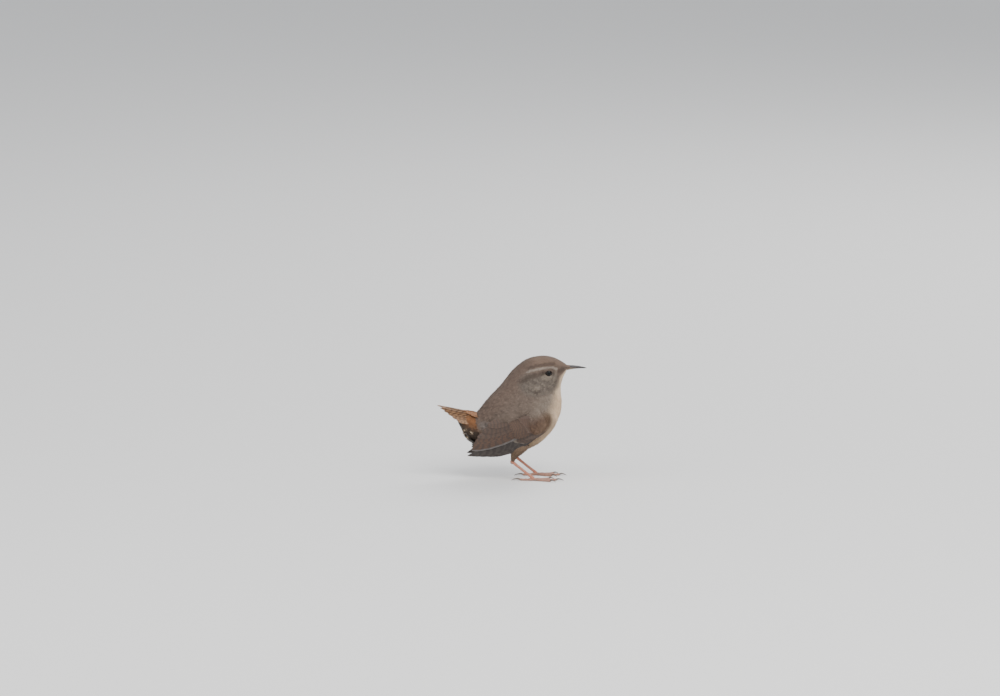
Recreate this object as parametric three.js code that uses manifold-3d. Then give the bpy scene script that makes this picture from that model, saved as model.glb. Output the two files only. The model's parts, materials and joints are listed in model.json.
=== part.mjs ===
// A wren at life size, standing with its tail cocked, as a museum model in separate named pieces.
// Sizes are in millimetres. The bird faces +X, its left side is +Y, and its soles rest on z = 0.
import * as THREE from "three";
import { mergeVertices } from "three/addons/utils/BufferGeometryUtils.js";
import Module from "manifold-3d";

const wasm = await Module();
wasm.setup();

// Driving dimensions
const seam = 0.3; // clear gap that neighbouring pieces keep
const eyeRadius = 2.1;
const eyeCentre = { x: 18.9, z: 56.6, sunk: 1.35 }; // sunk: how far the centre lies under the cheek
const lid = { radius: 1.85, thickness: 0.38, turn: 0.22, proud: 0.05 };
const billLength = 13.2;
const billTip = { x: 39.0, z: 58.75 };
const tarsusThickness = 0.82; // radius
const soleLevel = 0;

// Sections of head and body, from the bill's root to the tail's root. Each runs from a point
// on the back line to one on the belly line, and "half" is its half width.
const sections = [
  { name: "bill root", back: [28.3, 60.2], belly: [28.3, 56.5], half: 1.9 },
  { name: "lores", back: [25.5, 62.0], belly: [26.7, 53.2], half: 4.4 },
  { name: "brow", back: [20.8, 64.1], belly: [25.5, 48.8], half: 7.3 },
  { name: "crown", back: [15.1, 64.8], belly: [25.5, 44.7], half: 8.8 },
  { name: "nape", back: [7.8, 63.2], belly: [26.0, 40.4], half: 10.6 },
  { name: "mantle", back: [0.8, 58.2], belly: [25.5, 34.4], half: 13.2 },
  { name: "breast", back: [-6.0, 49.9], belly: [22.1, 26.4], half: 15.2 },
  { name: "back", back: [-12.7, 42.4], belly: [15.1, 19.0], half: 14.6 },
  { name: "rump", back: [-17.7, 36.1], belly: [4.7, 14.2], half: 11.4 },
  { name: "vent", back: [-21.0, 31.9], belly: [-6.2, 13.6], half: 7.6 },
  { name: "tail root", back: [-22.6, 28.4], belly: [-15.1, 18.6], half: 3.6 },
];
const headEnd = 0.41; // where the head ends and the neck ends, as shares of the sections
const neckEnd = 0.53;

// The folded wing lies in a plane of its own: u runs from the wrist to the tip, v towards the back.
const wrist = { x: 19.2, z: 30.2 };
const wingTip = { x: -23.4, z: 9.9 };
const wingLength = Math.hypot(wrist.x - wingTip.x, wrist.z - wingTip.z);
const along = {
  x: (wingTip.x - wrist.x) / wingLength,
  z: (wingTip.z - wrist.z) / wingLength,
};

const vec = (x, y, z) => new THREE.Vector3(x, y, z);
const mix = (a, b, t) => a + (b - a) * t;
const clamp = (x, lo, hi) => Math.min(hi, Math.max(lo, x));
const sideOf = { left: 1, right: -1 };

// A smooth curve through [share, value] pairs, read at any share from 0 to 1.
function profile(pairs) {
  const curve = new THREE.CatmullRomCurve3(
    pairs.map(([, value]) => vec(value, 0, 0)),
  );
  const shares = pairs.map(([share]) => share);
  return (share) => {
    const s = clamp(share, shares[0], shares[shares.length - 1]);
    let i = 0;
    while (i < shares.length - 2 && s > shares[i + 1]) i += 1;
    const part = (s - shares[i]) / (shares[i + 1] - shares[i]);
    return curve.getPoint((i + part) / (shares.length - 1)).x;
  };
}

// Makes a closed solid from corner points and triangles, with its faces pointing out.
function solidFrom(points, triangles) {
  let volume = 0;
  for (const [a, b, c] of triangles)
    volume += points[a].dot(vec(0, 0, 0).crossVectors(points[b], points[c]));
  const turned = volume < 0 ? triangles.map(([a, b, c]) => [a, c, b]) : triangles;
  return new wasm.Manifold(
    new wasm.Mesh({
      numProp: 3,
      vertProperties: new Float32Array(points.flatMap((p) => [p.x, p.y, p.z])),
      triVerts: new Uint32Array(turned.flat()),
    }),
  );
}

// Joins rings of points into a closed body. The ends close on their own middles, or on given poles.
function loft(rings, firstPole, lastPole) {
  const sides = rings[0].length;
  const points = rings.flat();
  const triangles = [];
  for (let r = 0; r < rings.length - 1; r += 1)
    for (let k = 0; k < sides; k += 1) {
      const a = r * sides + k;
      const b = r * sides + ((k + 1) % sides);
      triangles.push([a, b, b + sides], [a, b + sides, a + sides]);
    }
  const middle = (ring) =>
    ring.reduce((sum, p) => sum.add(p), vec(0, 0, 0)).divideScalar(sides);
  [
    [0, firstPole, 1],
    [rings.length - 1, lastPole, -1],
  ].forEach(([r, pole, turn]) => {
    const tip = points.push(pole || middle(rings[r])) - 1;
    for (let k = 0; k < sides; k += 1) {
      const a = r * sides + k;
      const b = r * sides + ((k + 1) % sides);
      triangles.push(turn > 0 ? [tip, b, a] : [tip, a, b]);
    }
  });
  return solidFrom(points, triangles);
}

// A round tube along a path of points. radius(share) may give [across, up] to flatten it,
// and nothing of it reaches below the floor.
function tube(path, radius, { sides = 8, steps = 8, floor = -Infinity } = {}) {
  const curve = new THREE.CatmullRomCurve3(path, false, "centripetal");
  const rings = [];
  for (let i = 0; i <= steps; i += 1) {
    const share = i / steps;
    const centre = curve.getPoint(share);
    const tangent = curve.getTangent(share);
    const across = vec(0, 0, 1).cross(tangent);
    if (across.lengthSq() < 1e-4) across.set(0, 1, 0);
    across.normalize();
    const up = tangent.clone().cross(across).normalize();
    const girth = radius(share);
    const [ra, ru] = Array.isArray(girth) ? girth : [girth, girth];
    const ring = [];
    for (let k = 0; k < sides; k += 1) {
      const angle = (2 * Math.PI * (k + 0.5)) / sides;
      const p = centre
        .clone()
        .addScaledVector(across, ra * Math.cos(angle))
        .addScaledVector(up, ru * Math.sin(angle));
      p.z = Math.max(p.z, floor);
      ring.push(p);
    }
    rings.push(ring);
  }
  const pole = (end) => {
    const p = curve.getPoint(end);
    p.z = Math.max(p.z, floor + 0.05);
    return p;
  };
  return loft(rings, pole(0), pole(1));
}

function solidOf(geometry) {
  const bare = new THREE.BufferGeometry()
    .setAttribute("position", geometry.getAttribute("position"))
    .setIndex(geometry.index);
  const merged = mergeVertices(bare, 1e-4);
  const p = merged.getAttribute("position");
  const points = [...Array(p.count).keys()].map((i) => vec(p.getX(i), p.getY(i), p.getZ(i)));
  const index = [...merged.index.array];
  const triangles = [];
  for (let i = 0; i < index.length; i += 3) {
    const t = index.slice(i, i + 3);
    if (new Set(t).size === 3) triangles.push(t);
  }
  return solidFrom(points, triangles);
}

const joinAll = (solids) => solids.reduce((sum, s) => sum.add(s));
const largest = (solid) =>
  solid.decompose().reduce((best, s) => (s.volume() > best.volume() ? s : best));

// Body form

const curvesOf = (list) => ({
  backLine: new THREE.CatmullRomCurve3(list.map((s) => vec(s.back[0], s.half, s.back[1]))),
  bellyLine: new THREE.CatmullRomCurve3(list.map((s) => vec(s.belly[0], s.half, s.belly[1]))),
});
const bodyCurves = curvesOf(sections);

function sectionAt(share, { backLine, bellyLine } = bodyCurves) {
  const back = backLine.getPoint(share);
  const belly = bellyLine.getPoint(share);
  const half = back.y;
  back.y = 0;
  belly.y = 0;
  const up = back.clone().sub(belly);
  const reach = up.length() / 2;
  return { centre: back.add(belly).divideScalar(2), up: up.normalize(), reach, half };
}

const endBulge = { first: 0.6, last: 1.3 }; // how far a form's ends round out past its last rings

// A closed form through a list of sections, with oval rings, grown by a clearance all round.
function formOf(list, grow = 0, sides = 28, steps = 30) {
  const curves = curvesOf(list);
  const rings = [];
  for (let i = 0; i <= steps; i += 1) {
    const { centre, up, reach, half } = sectionAt(i / steps, curves);
    const ring = [];
    for (let k = 0; k < sides; k += 1) {
      const angle = (2 * Math.PI * k) / sides;
      ring.push(
        centre
          .clone()
          .addScaledVector(up, (reach + grow) * Math.cos(angle))
          .add(vec(0, (half + grow) * Math.sin(angle), 0)),
      );
    }
    rings.push(ring);
  }
  const first = sectionAt(0, curves).centre.add(vec(endBulge.first + grow, 0, 0));
  const last = sectionAt(1, curves).centre.add(vec(-endBulge.last - grow, 0, 0));
  return loft(rings, first, last);
}

// Half width of the body at a point of the side view, or 0 outside it.
function bodySide(x, z) {
  const past = (share) => {
    const { centre, up } = sectionAt(share);
    return up.z * (x - centre.x) - up.x * (z - centre.z);
  };
  let [lo, hi] = [0, 1];
  if (past(lo) > 0 || past(hi) < 0) return 0;
  for (let i = 0; i < 30; i += 1) {
    const mid = (lo + hi) / 2;
    if (past(mid) > 0) hi = mid;
    else lo = mid;
  }
  const { centre, up, reach, half } = sectionAt(lo);
  const t = ((x - centre.x) * up.x + (z - centre.z) * up.z) / reach;
  return t * t < 1 ? half * Math.sqrt(1 - t * t) : 0;
}

// A flat cut across the body, as wide as the seam.
function cutAt(share) {
  const { centre, up } = sectionAt(share);
  const slab = new THREE.BoxGeometry(seam, 60, 70);
  slab.applyMatrix4(
    new THREE.Matrix4().makeBasis(vec(up.z, 0, -up.x), vec(0, 1, 0), up).setPosition(centre),
  );
  return solidOf(slab);
}

const body = formOf(sections);
const bodyClear = formOf(sections, seam);

const materials = Object.fromEntries(
  Object.entries({
    plumage: [0x76604c, 0.9],
    wing: [0x6a4c38, 0.8],
    tail: [0x8a5228, 0.8],
    eye: [0x0d0b0a, 0.1],
    bill: [0x4a3d36, 0.45],
    leg: [0xc49a84, 0.6],
    claw: [0x6b5a50, 0.5],
  }).map(([name, [color, roughness]]) => [
    name,
    new THREE.MeshStandardMaterial({ color, roughness, metalness: 0 }),
  ]),
);

const wren = new THREE.Group();

function addPiece(name, solid, material) {
  const mesh = largest(solid).getMesh();
  const geometry = new THREE.BufferGeometry()
    .setAttribute("position", new THREE.BufferAttribute(mesh.vertProperties, 3))
    .setIndex(new THREE.BufferAttribute(mesh.triVerts, 1));
  const piece = new THREE.Mesh(geometry, materials[material]);
  piece.name = name;
  wren.add(piece);
}

// Head: lids round the eyes, sockets, and the gape that carries the mouth line back from the bill

const cheekSide = bodySide(eyeCentre.x, eyeCentre.z); // how far the cheek lies out at the eye

function eyeballAt(side, grow = 0) {
  const ball = new THREE.SphereGeometry(eyeRadius + grow, 14, 9);
  const y = cheekSide - eyeCentre.sunk;
  ball.translate(eyeCentre.x, side * y, eyeCentre.z);
  return solidOf(ball);
}

function lidAt(side) {
  const ring = new THREE.TorusGeometry(lid.radius, lid.thickness, 5, 16);
  ring.rotateX(Math.PI / 2);
  ring.rotateZ(-side * lid.turn);
  ring.translate(eyeCentre.x, side * (cheekSide + lid.proud), eyeCentre.z);
  return solidOf(ring);
}

// Back corner of the mouth, and the slope, arch and length of its line
const mouth = { x: 24.6, z: 57.4, rise: 0.055, arch: 0.55, length: billTip.x - 24.6 };
const gape = { length: 5, width: 20, slope: 0.16 };

function mouthHeight(x) {
  const fromCorner = x - mouth.x;
  return mouth.z + fromCorner * mouth.rise + mouth.arch * Math.sin((Math.PI * fromCorner) / mouth.length);
}

function gapeCut() {
  const cut = new THREE.BoxGeometry(gape.length, gape.width, seam);
  const x = mouth.x + gape.length / 2;
  cut.rotateY(-gape.slope);
  cut.translate(x, 0, mouthHeight(x));
  return solidOf(cut);
}

const parts = body
  .subtract(cutAt(headEnd))
  .subtract(cutAt(neckEnd))
  .decompose()
  .map((solid) => ({ solid, height: solid.boundingBox().max[2] }))
  .sort((a, b) => b.height - a.height)
  .map(({ solid }) => solid);
let [head, neck, torso] = parts;
for (const side of [1, -1]) {
  head = head.add(lidAt(side)).subtract(eyeballAt(side, seam));
}
head = head.subtract(gapeCut());

// Bill: two halves that meet along the mouth line

const billHalf = profile([[0, 1.75], [0.35, 1.2], [0.7, 0.68], [1, 0.16]]);
const billRise = profile([[0, 2.1], [0.35, 1.25], [0.7, 0.72], [1, 0.16]]);
const billDrop = profile([[0, 1.5], [0.35, 0.85], [0.7, 0.48], [1, 0.12]]);
const billBend = { from: 0.6, depth: 0.75 }; // the last stretch of the bill curves down
const nostril = { x: 30.3, aside: 1.12, rise: 0.85, half: [0.85, 0.3, 0.24], turn: 0.1 };

function billPart(turn, depth, length) {
  const sides = 10;
  const steps = 9;
  const rings = [];
  for (let i = 0; i <= steps; i += 1) {
    const share = i / steps;
    const x = billTip.x - billLength + length * share;
    const bend = billBend.depth * Math.max(0, share - billBend.from) ** 2;
    const base = mouthHeight(x) + (turn * seam) / 2 - bend;
    const ring = [];
    for (let k = 0; k < sides; k += 1) {
      const angle = (Math.PI * k) / (sides - 1);
      ring.push(
        vec(x, billHalf(share) * Math.cos(angle), base + turn * depth(share) * Math.sin(angle)),
      );
    }
    rings.push(ring);
  }
  return loft(rings);
}

let billUpper = billPart(1, billRise, billLength).subtract(bodyClear);
const billLower = billPart(-1, billDrop, billLength - 0.5).subtract(bodyClear);
for (const side of [1, -1]) {
  const slit = new THREE.SphereGeometry(1, 10, 6);
  slit.scale(...nostril.half);
  slit.rotateY(nostril.turn);
  slit.translate(nostril.x, side * nostril.aside, mouthHeight(nostril.x) + nostril.rise);
  billUpper = billUpper.subtract(solidOf(slit));
}

addPiece("head", head, "plumage");
addPiece("neck", neck, "plumage");
addPiece("bill_upper", billUpper, "bill");
addPiece("bill_lower", billLower, "bill");
for (const [name, side] of Object.entries(sideOf)) addPiece(`eye_${name}`, eyeballAt(side), "eye");

// Legs: feathered thigh, bare tarsus, foot with four toes, and a claw on each toe

const legs = {
  right: { side: -1, knee: [5.6, 20.5], ankle: [-0.4, 10.3], foot: [11.3, 1.35] },
  left: { side: 1, knee: [6.6, 20.5], ankle: [1.4, 10.6], foot: [12.9, 1.35] },
};
const stance = { hip: 8.2, ankle: 7.4, foot: 8.4 }; // how far each joint lies from the middle plane
const toeKinds = [
  { name: "hind", turn: 176, length: 7.4, claw: 4.6 },
  { name: "inner", turn: 27, length: 8.2, claw: 3.1 },
  { name: "middle", turn: 1, length: 11.4, claw: 3.5 },
  { name: "outer", turn: -25, length: 9.0, claw: 3.0 },
];
const toeRadius = 0.68;
const footPad = { radius: 1.25, stretch: [1.15, 1, 0.8], ahead: 0.3, height: 1.0 };
const clawRadius = { root: 0.5, tip: 0.12 };

function thighOf({ side, knee, ankle }, grow = 0) {
  const shank = [mix(knee[0], ankle[0], 0.5) - 0.2, mix(knee[1], ankle[1], 0.48)];
  const path = [
    vec(knee[0], side * stance.hip, knee[1]),
    vec(shank[0], side * (stance.hip + 0.1), shank[1]),
    vec(ankle[0] + 0.35, side * stance.ankle, ankle[1] + 0.3),
  ];
  const girth = profile([[0, 4.9], [0.4, 3.7], [0.75, 2.0], [1, 1.25]]);
  return tube(path, (share) => girth(share) + grow, { sides: 12, steps: 9 });
}

function tarsusOf({ side, ankle, foot }, grow = 0) {
  const half = [mix(ankle[0], foot[0], 0.5), mix(ankle[1], foot[1], 0.52)];
  const path = [
    vec(ankle[0] - 0.15, side * stance.ankle, ankle[1] - 0.1),
    vec(half[0], side * mix(stance.ankle, stance.foot, 0.5), half[1]),
    vec(foot[0] - 0.75, side * stance.foot, foot[1] + 0.62),
  ];
  const girth = profile([[0, 1.2], [0.14, 0.98], [0.4, 1], [0.8, 1.02], [1, 1.12]]);
  return tube(path, (share) => [
    tarsusThickness * 0.86 * girth(share) + grow,
    tarsusThickness * girth(share) + grow,
  ], { sides: 10, steps: 10 });
}

function toePath({ side, foot }, { turn, length, claw }) {
  const angle = THREE.MathUtils.degToRad(turn);
  const at = (reach, height) =>
    vec(
      foot[0] + 0.4 + reach * Math.cos(angle),
      side * (stance.foot - reach * Math.sin(angle)),
      height,
    );
  const low = toeRadius * 0.72;
  const toe = [
    at(0, low + 0.35),
    at(length * 0.3, low + 0.2),
    at(length * 0.62, low),
    at(length, low + 0.05),
  ];
  const start = length + seam;
  const nail = [
    at(start, low + 0.28),
    at(start + claw * 0.4, low + 0.42),
    at(start + claw * 0.78, low + 0.02),
    at(start + claw, 0.1),
  ];
  return { toe, nail };
}

function toeOf(leg, kind) {
  const bulge = profile([
    [0, 1.15], [0.18, 1], [0.33, 1.12], [0.5, 0.9], [0.64, 1.05], [0.82, 0.82], [1, 0.9],
  ]);
  const { toe } = toePath(leg, kind);
  return tube(toe, (share) => toeRadius * bulge(share), { sides: 6, steps: 7, floor: soleLevel });
}

function clawOf(leg, kind) {
  const { nail } = toePath(leg, kind);
  const radius = (share) => mix(clawRadius.root, clawRadius.tip, share);
  return tube(nail, radius, { sides: 6, steps: 5, floor: soleLevel });
}

for (const [name, leg] of Object.entries(legs)) {
  const tarsus = tarsusOf(leg);
  const foot = joinAll(toeKinds.map((kind) => toeOf(leg, kind)));
  const pad = new THREE.SphereGeometry(footPad.radius, 12, 8);
  pad.scale(...footPad.stretch);
  pad.translate(leg.foot[0] + footPad.ahead, leg.side * stance.foot, footPad.height);
  addPiece(`thigh_${name}`, thighOf(leg).subtract(bodyClear), "plumage");
  addPiece(`tarsus_${name}`, tarsus.subtract(thighOf(leg, seam)), "leg");
  addPiece(`foot_${name}`, foot.add(solidOf(pad)).subtract(tarsusOf(leg, seam)), "leg");
  for (const kind of toeKinds) addPiece(`claw_${name}_${kind.name}`, clawOf(leg, kind), "claw");
}

// A feather's vane, laid by at(share, across, lift): from its root at share 0 to its tip at share 1,
// across it in millimetres, and so far out of the face that it lies on. Its lower edge stands proud.
const longSteps = [0, 0.25, 0.52, 0.76, 0.91, 1];
const shortSteps = [0, 0.42, 0.78, 1];
const vaneOutline = profile([
  [0, 0.5], [0.25, 0.86], [0.5, 1], [0.72, 0.94], [0.89, 0.66], [1, 0.16],
]);
const vaneThickness = 0.5;
const longFeather = 16; // from this length on a feather gets the longer list of steps
const vaneTilt = 0.2;
const shaftRise = 0.14;

function vaneOf(at, half, tilt = vaneTilt, steps = longSteps) {
  const rings = steps.map((share) => {
    const w = half * vaneOutline(share);
    const thick = vaneThickness * mix(1, 0.6, share ** 3);
    return [
      at(share, -w, tilt * w),
      at(share, -w * 0.15, shaftRise),
      at(share, w, -tilt * w),
      at(share, w, -tilt * w - thick),
      at(share, -w, tilt * w - thick),
    ];
  });
  return loft(rings);
}

// Draws numbers between -1 and 1 that are the same at each run.
function drawFrom(seed) {
  let state = seed;
  return () => {
    state = (state * 16807) % 2147483647;
    return (state / 2147483647) * 2 - 1;
  };
}

// Folded wing: a core that reaches half way to the tips, and the feathers in tiers over it

// How far the wing's face lies from the middle plane, and how it falls away to its two edges
const wingSpread = profile([
  [0, 13.4], [0.09, 15.0], [0.18, 15.8], [0.33, 15.8], [0.5, 14.2], [0.67, 11.3], [0.83, 7.9], [1, 4.8],
]);
const wingCrest = 6;
const wingFall = { belly: 0.036, back: 0.012 };

function wingPoint(side, u, v, h) {
  const x = wrist.x + along.x * u + along.z * v;
  const z = wrist.z + along.z * u - along.x * v;
  const share = u / wingLength;
  const fall = v < wingCrest ? wingFall.belly * mix(1, 0.4, share) : wingFall.back;
  const y = wingSpread(share) - fall * (v - wingCrest) ** 2 + h;
  return vec(x, side * y, z);
}

// The tiers of the wing, from the innermost out. Roots and tips are [u, v] of the first and the last
// feather, with the others spread evenly between; lift is how far the tier stands out.
const wingTiers = [
  {
    name: "primaries",
    count: 7,
    root: [[4, -1.2], [13, 1.5]],
    tip: [[34.5, -3.6], [45.6, 2.6]],
    half: [1.7, 1.9],
    lift: [-0.55, -0.25],
    bow: -1.6,
  },
  {
    name: "secondaries",
    count: 5,
    root: [[9, 2.5], [15, 8]],
    tip: [[43, 4.0], [38.6, 8.2]],
    half: [2.0, 2.3],
    lift: [-0.1, 0.1],
    bow: -0.7,
  },
  {
    name: "tertials",
    count: 3,
    root: [[13, 7.5], [14, 11]],
    tip: [[36.4, 9.6], [29, 13.2]],
    half: [2.5, 2.5],
    lift: [0.2, 0.35],
    bow: -0.2,
  },
  {
    name: "primary coverts",
    count: 3,
    root: [[3.5, -1.2], [5.5, 1.2]],
    tip: [[18.4, -2.6], [20.6, 0.2]],
    half: [1.5, 1.6],
    lift: [0, 0.15],
    bow: -0.8,
  },
  {
    name: "greater coverts",
    count: 7,
    root: [[5.5, 1.5], [9.5, 9.6]],
    tip: [[19.4, 1.8], [18.4, 12.2]],
    half: [1.6, 1.6],
    lift: [0.45, 0.6],
    bow: -0.4,
  },
  {
    name: "alula",
    count: 2,
    root: [[1.8, -1.6], [2.2, -0.4]],
    tip: [[11.4, -2.8], [14.6, -1.6]],
    half: [1.1, 1.2],
    lift: [0.3, 0.45],
    bow: -0.4,
  },
  {
    name: "median coverts",
    count: 6,
    root: [[2.2, 1.0], [5.4, 7.4]],
    tip: [[11.6, 1.8], [12.6, 10.6]],
    half: [1.6, 1.6],
    lift: [0.8, 0.9],
    bow: -0.2,
  },
];

function wingFeather(side, root, tip, half, lift, bow) {
  const length = Math.hypot(tip[0] - root[0], tip[1] - root[1]);
  const du = (tip[0] - root[0]) / length;
  const dv = (tip[1] - root[1]) / length;
  const at = (share, across, rise) => {
    const sway = across + bow * Math.sin(Math.PI * share);
    const u = mix(root[0], tip[0], share) - dv * sway;
    const v = mix(root[1], tip[1], share) + du * sway;
    return wingPoint(side, u, v, lift + rise);
  };
  return vaneOf(at, half, vaneTilt, length > longFeather ? longSteps : shortSteps);
}

// The core's upper and lower edge as v, how far it runs along u, and how deep its two faces lie
const wingCorePlan = {
  top: profile([[0, 1], [0.12, 8.2], [0.35, 13.2], [0.6, 14], [0.85, 11.5], [1, 6]]),
  low: profile([[0, -0.5], [0.12, -2.2], [0.35, -3.2], [0.6, -3.6], [0.85, -3.4], [1, -1]]),
  reach: [0.3, 30],
  face: -0.35,
  back: [-4, -1.2],
};

function wingCore(side) {
  const { top, low, reach, face, back } = wingCorePlan;
  const rings = [];
  const steps = 9;
  const across = 5;
  for (let i = 0; i <= steps; i += 1) {
    const share = i / steps;
    const point = (k, depth) =>
      wingPoint(side, mix(reach[0], reach[1], share), mix(low(share), top(share), k / across), depth);
    const ring = [];
    for (let k = 0; k <= across; k += 1) ring.push(point(k, face));
    for (let k = across; k >= 0; k -= 1) ring.push(point(k, mix(back[0], back[1], share ** 2)));
    rings.push(ring);
  }
  return loft(rings);
}

function wingOf(side) {
  const draw = drawFrom(side > 0 ? 411 : 97);
  const feathers = wingTiers.flatMap(({ count, root, tip, half, lift, bow }) =>
    [...Array(count).keys()].map((i) => {
      const t = count > 1 ? i / (count - 1) : 0;
      const between = ([a, b], stray) => [
        mix(a[0], b[0], t) + stray * draw(),
        mix(a[1], b[1], t) + stray * 0.2 * draw(),
      ];
      return wingFeather(
        side,
        between(root, 0.2),
        between(tip, 0.5),
        mix(half[0], half[1], t),
        mix(lift[0], lift[1], t),
        bow,
      );
    }),
  );
  return joinAll([wingCore(side), ...feathers]);
}

// Tail: rectrices folded like a roof, coverts over and under them, and the soft cushion they grow from

const tailRoot = { x: -13, z: 32.9 };
const tailTip = { x: -39, z: 38.5 };
const outerTip = { x: -28.8, y: 5.0, z: 31.5 }; // tip of the outermost, shortest feather
const rectrices = 6; // on each side
const rectrixHalf = 2.3;
const rectrixTilt = 0.04;
const roofSlope = { first: 8, step: 9 }; // degrees that each feather leans down from the middle pair

// The cushion of soft coverts that fills the corner between vent and tail
const cushion = [
  { back: [-14, 32.2], belly: [-13, 17.3], half: 7.0 },
  { back: [-19.5, 34.2], belly: [-19.0, 18.1], half: 6.2 },
  { back: [-23.5, 34.9], belly: [-23.3, 21.0], half: 5.0 },
  { back: [-26.2, 35.0], belly: [-25.2, 25.6], half: 3.6 },
  { back: [-27.6, 34.2], belly: [-27.2, 30.2], half: 1.8 },
];
const rearLine = [[-12.6, 17.0], [-18.8, 17.8], [-23.4, 20.8], [-25.3, 25.6], [-27.9, 30.4]];
const cushionRear = new THREE.CatmullRomCurve3(rearLine.map(([x, z]) => vec(x, 0, z)));

// A straight vane between two points, with its width along one direction and its face along another
function straightVane(root, tip, across, half, tilt) {
  const face = tip.clone().sub(root).normalize().cross(across).normalize();
  if (face.z < 0) face.negate();
  const at = (share, a, rise) =>
    root.clone().lerp(tip, share).addScaledVector(across, a).addScaledVector(face, rise);
  return vaneOf(at, half, tilt, root.distanceTo(tip) > longFeather ? longSteps : shortSteps);
}

function rectrixOf(side, k) {
  const t = k / (rectrices - 1);
  const root = vec(tailRoot.x, side * (0.3 + 0.3 * k), tailRoot.z - 0.4 * k);
  const tip = vec(
    mix(tailTip.x, outerTip.x, t ** 1.15),
    side * mix(0.9, outerTip.y, t ** 0.8),
    mix(tailTip.z, outerTip.z, t ** 1.1),
  );
  const fold = THREE.MathUtils.degToRad(roofSlope.first + roofSlope.step * k);
  const across = vec(0, side * Math.cos(fold), -Math.sin(fold));
  return straightVane(root, tip, across, rectrixHalf, rectrixTilt);
}

// Rows of coverts under the tail: where their tips end on the cushion's rear, and how they spread
const undertailRows = [
  { tip: 0.3, length: 0.3, count: 4, spread: 4.6, half: 1.9 },
  { tip: 0.5, length: 0.32, count: 3, spread: 3.4, half: 1.9 },
  { tip: 0.74, length: 0.34, count: 4, spread: 3.2, half: 1.7 },
  { tip: 1, length: 0.36, count: 3, spread: 1.9, half: 1.6 },
];
// How deep a covert's root is sunk and how far its tip stands out, how much the outer ones tuck in
// and roll down, and how far their roots spread beyond their tips
const undertailSet = { sunk: 0.35, proud: 0.65, tuck: 0.9, roll: 0.45, rootSpread: 1.25 };

function undertailCovert({ tip, length, spread, half }, t) {
  const start = cushionRear.getPoint(Math.max(0, tip - length));
  const end = cushionRear.getPoint(tip);
  const lie = end.clone().sub(start).normalize();
  const out = vec(-lie.z, 0, lie.x).multiplyScalar(lie.x < 0 ? -1 : 1);
  if (out.z > 0) out.negate();
  const { sunk, proud, roll, rootSpread } = undertailSet;
  const tuck = undertailSet.tuck * t * t;
  start.addScaledVector(out, -sunk - tuck).setY(t * spread * rootSpread);
  end.addScaledVector(out, proud - tuck).setY(t * spread);
  const across = vec(0, 1, 0).addScaledVector(out, -roll * t).normalize();
  const face = lie.clone().cross(across).normalize();
  if (face.dot(out) < 0) face.negate();
  const at = (share, a, rise) =>
    start.clone().lerp(end, share).addScaledVector(across, a).addScaledVector(face, rise);
  return vaneOf(at, half, 0, shortSteps);
}

const uppertailCoverts = [
  { root: [-13.5, 2.6, 32.5], tip: [-22.4, 3.2, 34.6] },
  { root: [-13.5, 1.1, 33.2], tip: [-25.4, 1.5, 36.0] },
];
const uppertailHalf = 1.7;
const uppertailAcross = [0.94, -0.34]; // aside and up

function cushionForm(grow = 0) {
  return formOf(cushion, grow, 14, 7);
}

function tailOf() {
  const pieces = [cushionForm()];
  for (const side of [1, -1]) {
    for (let k = 0; k < rectrices; k += 1) pieces.push(rectrixOf(side, k));
    const across = vec(0, side * uppertailAcross[0], uppertailAcross[1]);
    for (const { root, tip } of uppertailCoverts) {
      const start = vec(root[0], side * root[1], root[2]);
      const end = vec(tip[0], side * tip[1], tip[2]);
      pieces.push(straightVane(start, end, across, uppertailHalf, 0));
    }
  }
  for (const row of undertailRows)
    for (let i = 0; i < row.count; i += 1)
      pieces.push(undertailCovert(row, (2 * i) / (row.count - 1) - 1));
  return joinAll(pieces);
}

const tail = tailOf().subtract(bodyClear);
const wings = Object.fromEntries(
  Object.entries(sideOf).map(([name, side]) => [
    name,
    wingOf(side)
      .subtract(bodyClear)
      .subtract(thighOf(legs[name], seam))
      .subtract(cushionForm(seam)),
  ]),
);
addPiece("torso", torso, "plumage");
addPiece("tail", tail, "tail");
for (const [name, wing] of Object.entries(wings)) addPiece(`wing_${name}`, wing, "wing");

const box = new THREE.Box3().setFromObject(wren);
const middle = box.getCenter(vec(0, 0, 0));
wren.position.set(-middle.x, -middle.y, -box.min.z);

export default wren;
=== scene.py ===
import json
import math
import random

import bpy
import numpy as np
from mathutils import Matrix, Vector

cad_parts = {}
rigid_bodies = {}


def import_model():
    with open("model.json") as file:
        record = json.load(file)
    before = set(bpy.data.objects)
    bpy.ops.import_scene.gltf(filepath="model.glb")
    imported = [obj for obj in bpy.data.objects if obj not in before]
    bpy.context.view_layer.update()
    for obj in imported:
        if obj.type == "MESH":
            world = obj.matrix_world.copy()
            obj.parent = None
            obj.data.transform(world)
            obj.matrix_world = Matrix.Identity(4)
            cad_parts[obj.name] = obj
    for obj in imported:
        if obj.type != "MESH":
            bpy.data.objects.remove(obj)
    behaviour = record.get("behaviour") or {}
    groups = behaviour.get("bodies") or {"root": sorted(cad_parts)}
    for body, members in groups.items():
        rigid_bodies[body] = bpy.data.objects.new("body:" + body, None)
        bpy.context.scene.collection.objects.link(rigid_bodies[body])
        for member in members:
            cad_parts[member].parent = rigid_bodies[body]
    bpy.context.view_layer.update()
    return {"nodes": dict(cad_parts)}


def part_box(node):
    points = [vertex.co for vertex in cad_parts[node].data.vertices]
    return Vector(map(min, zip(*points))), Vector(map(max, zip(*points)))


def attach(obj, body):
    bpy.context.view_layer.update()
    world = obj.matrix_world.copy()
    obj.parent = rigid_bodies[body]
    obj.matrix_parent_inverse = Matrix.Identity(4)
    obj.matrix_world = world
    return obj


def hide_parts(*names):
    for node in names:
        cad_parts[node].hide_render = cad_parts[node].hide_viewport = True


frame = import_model()
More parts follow.
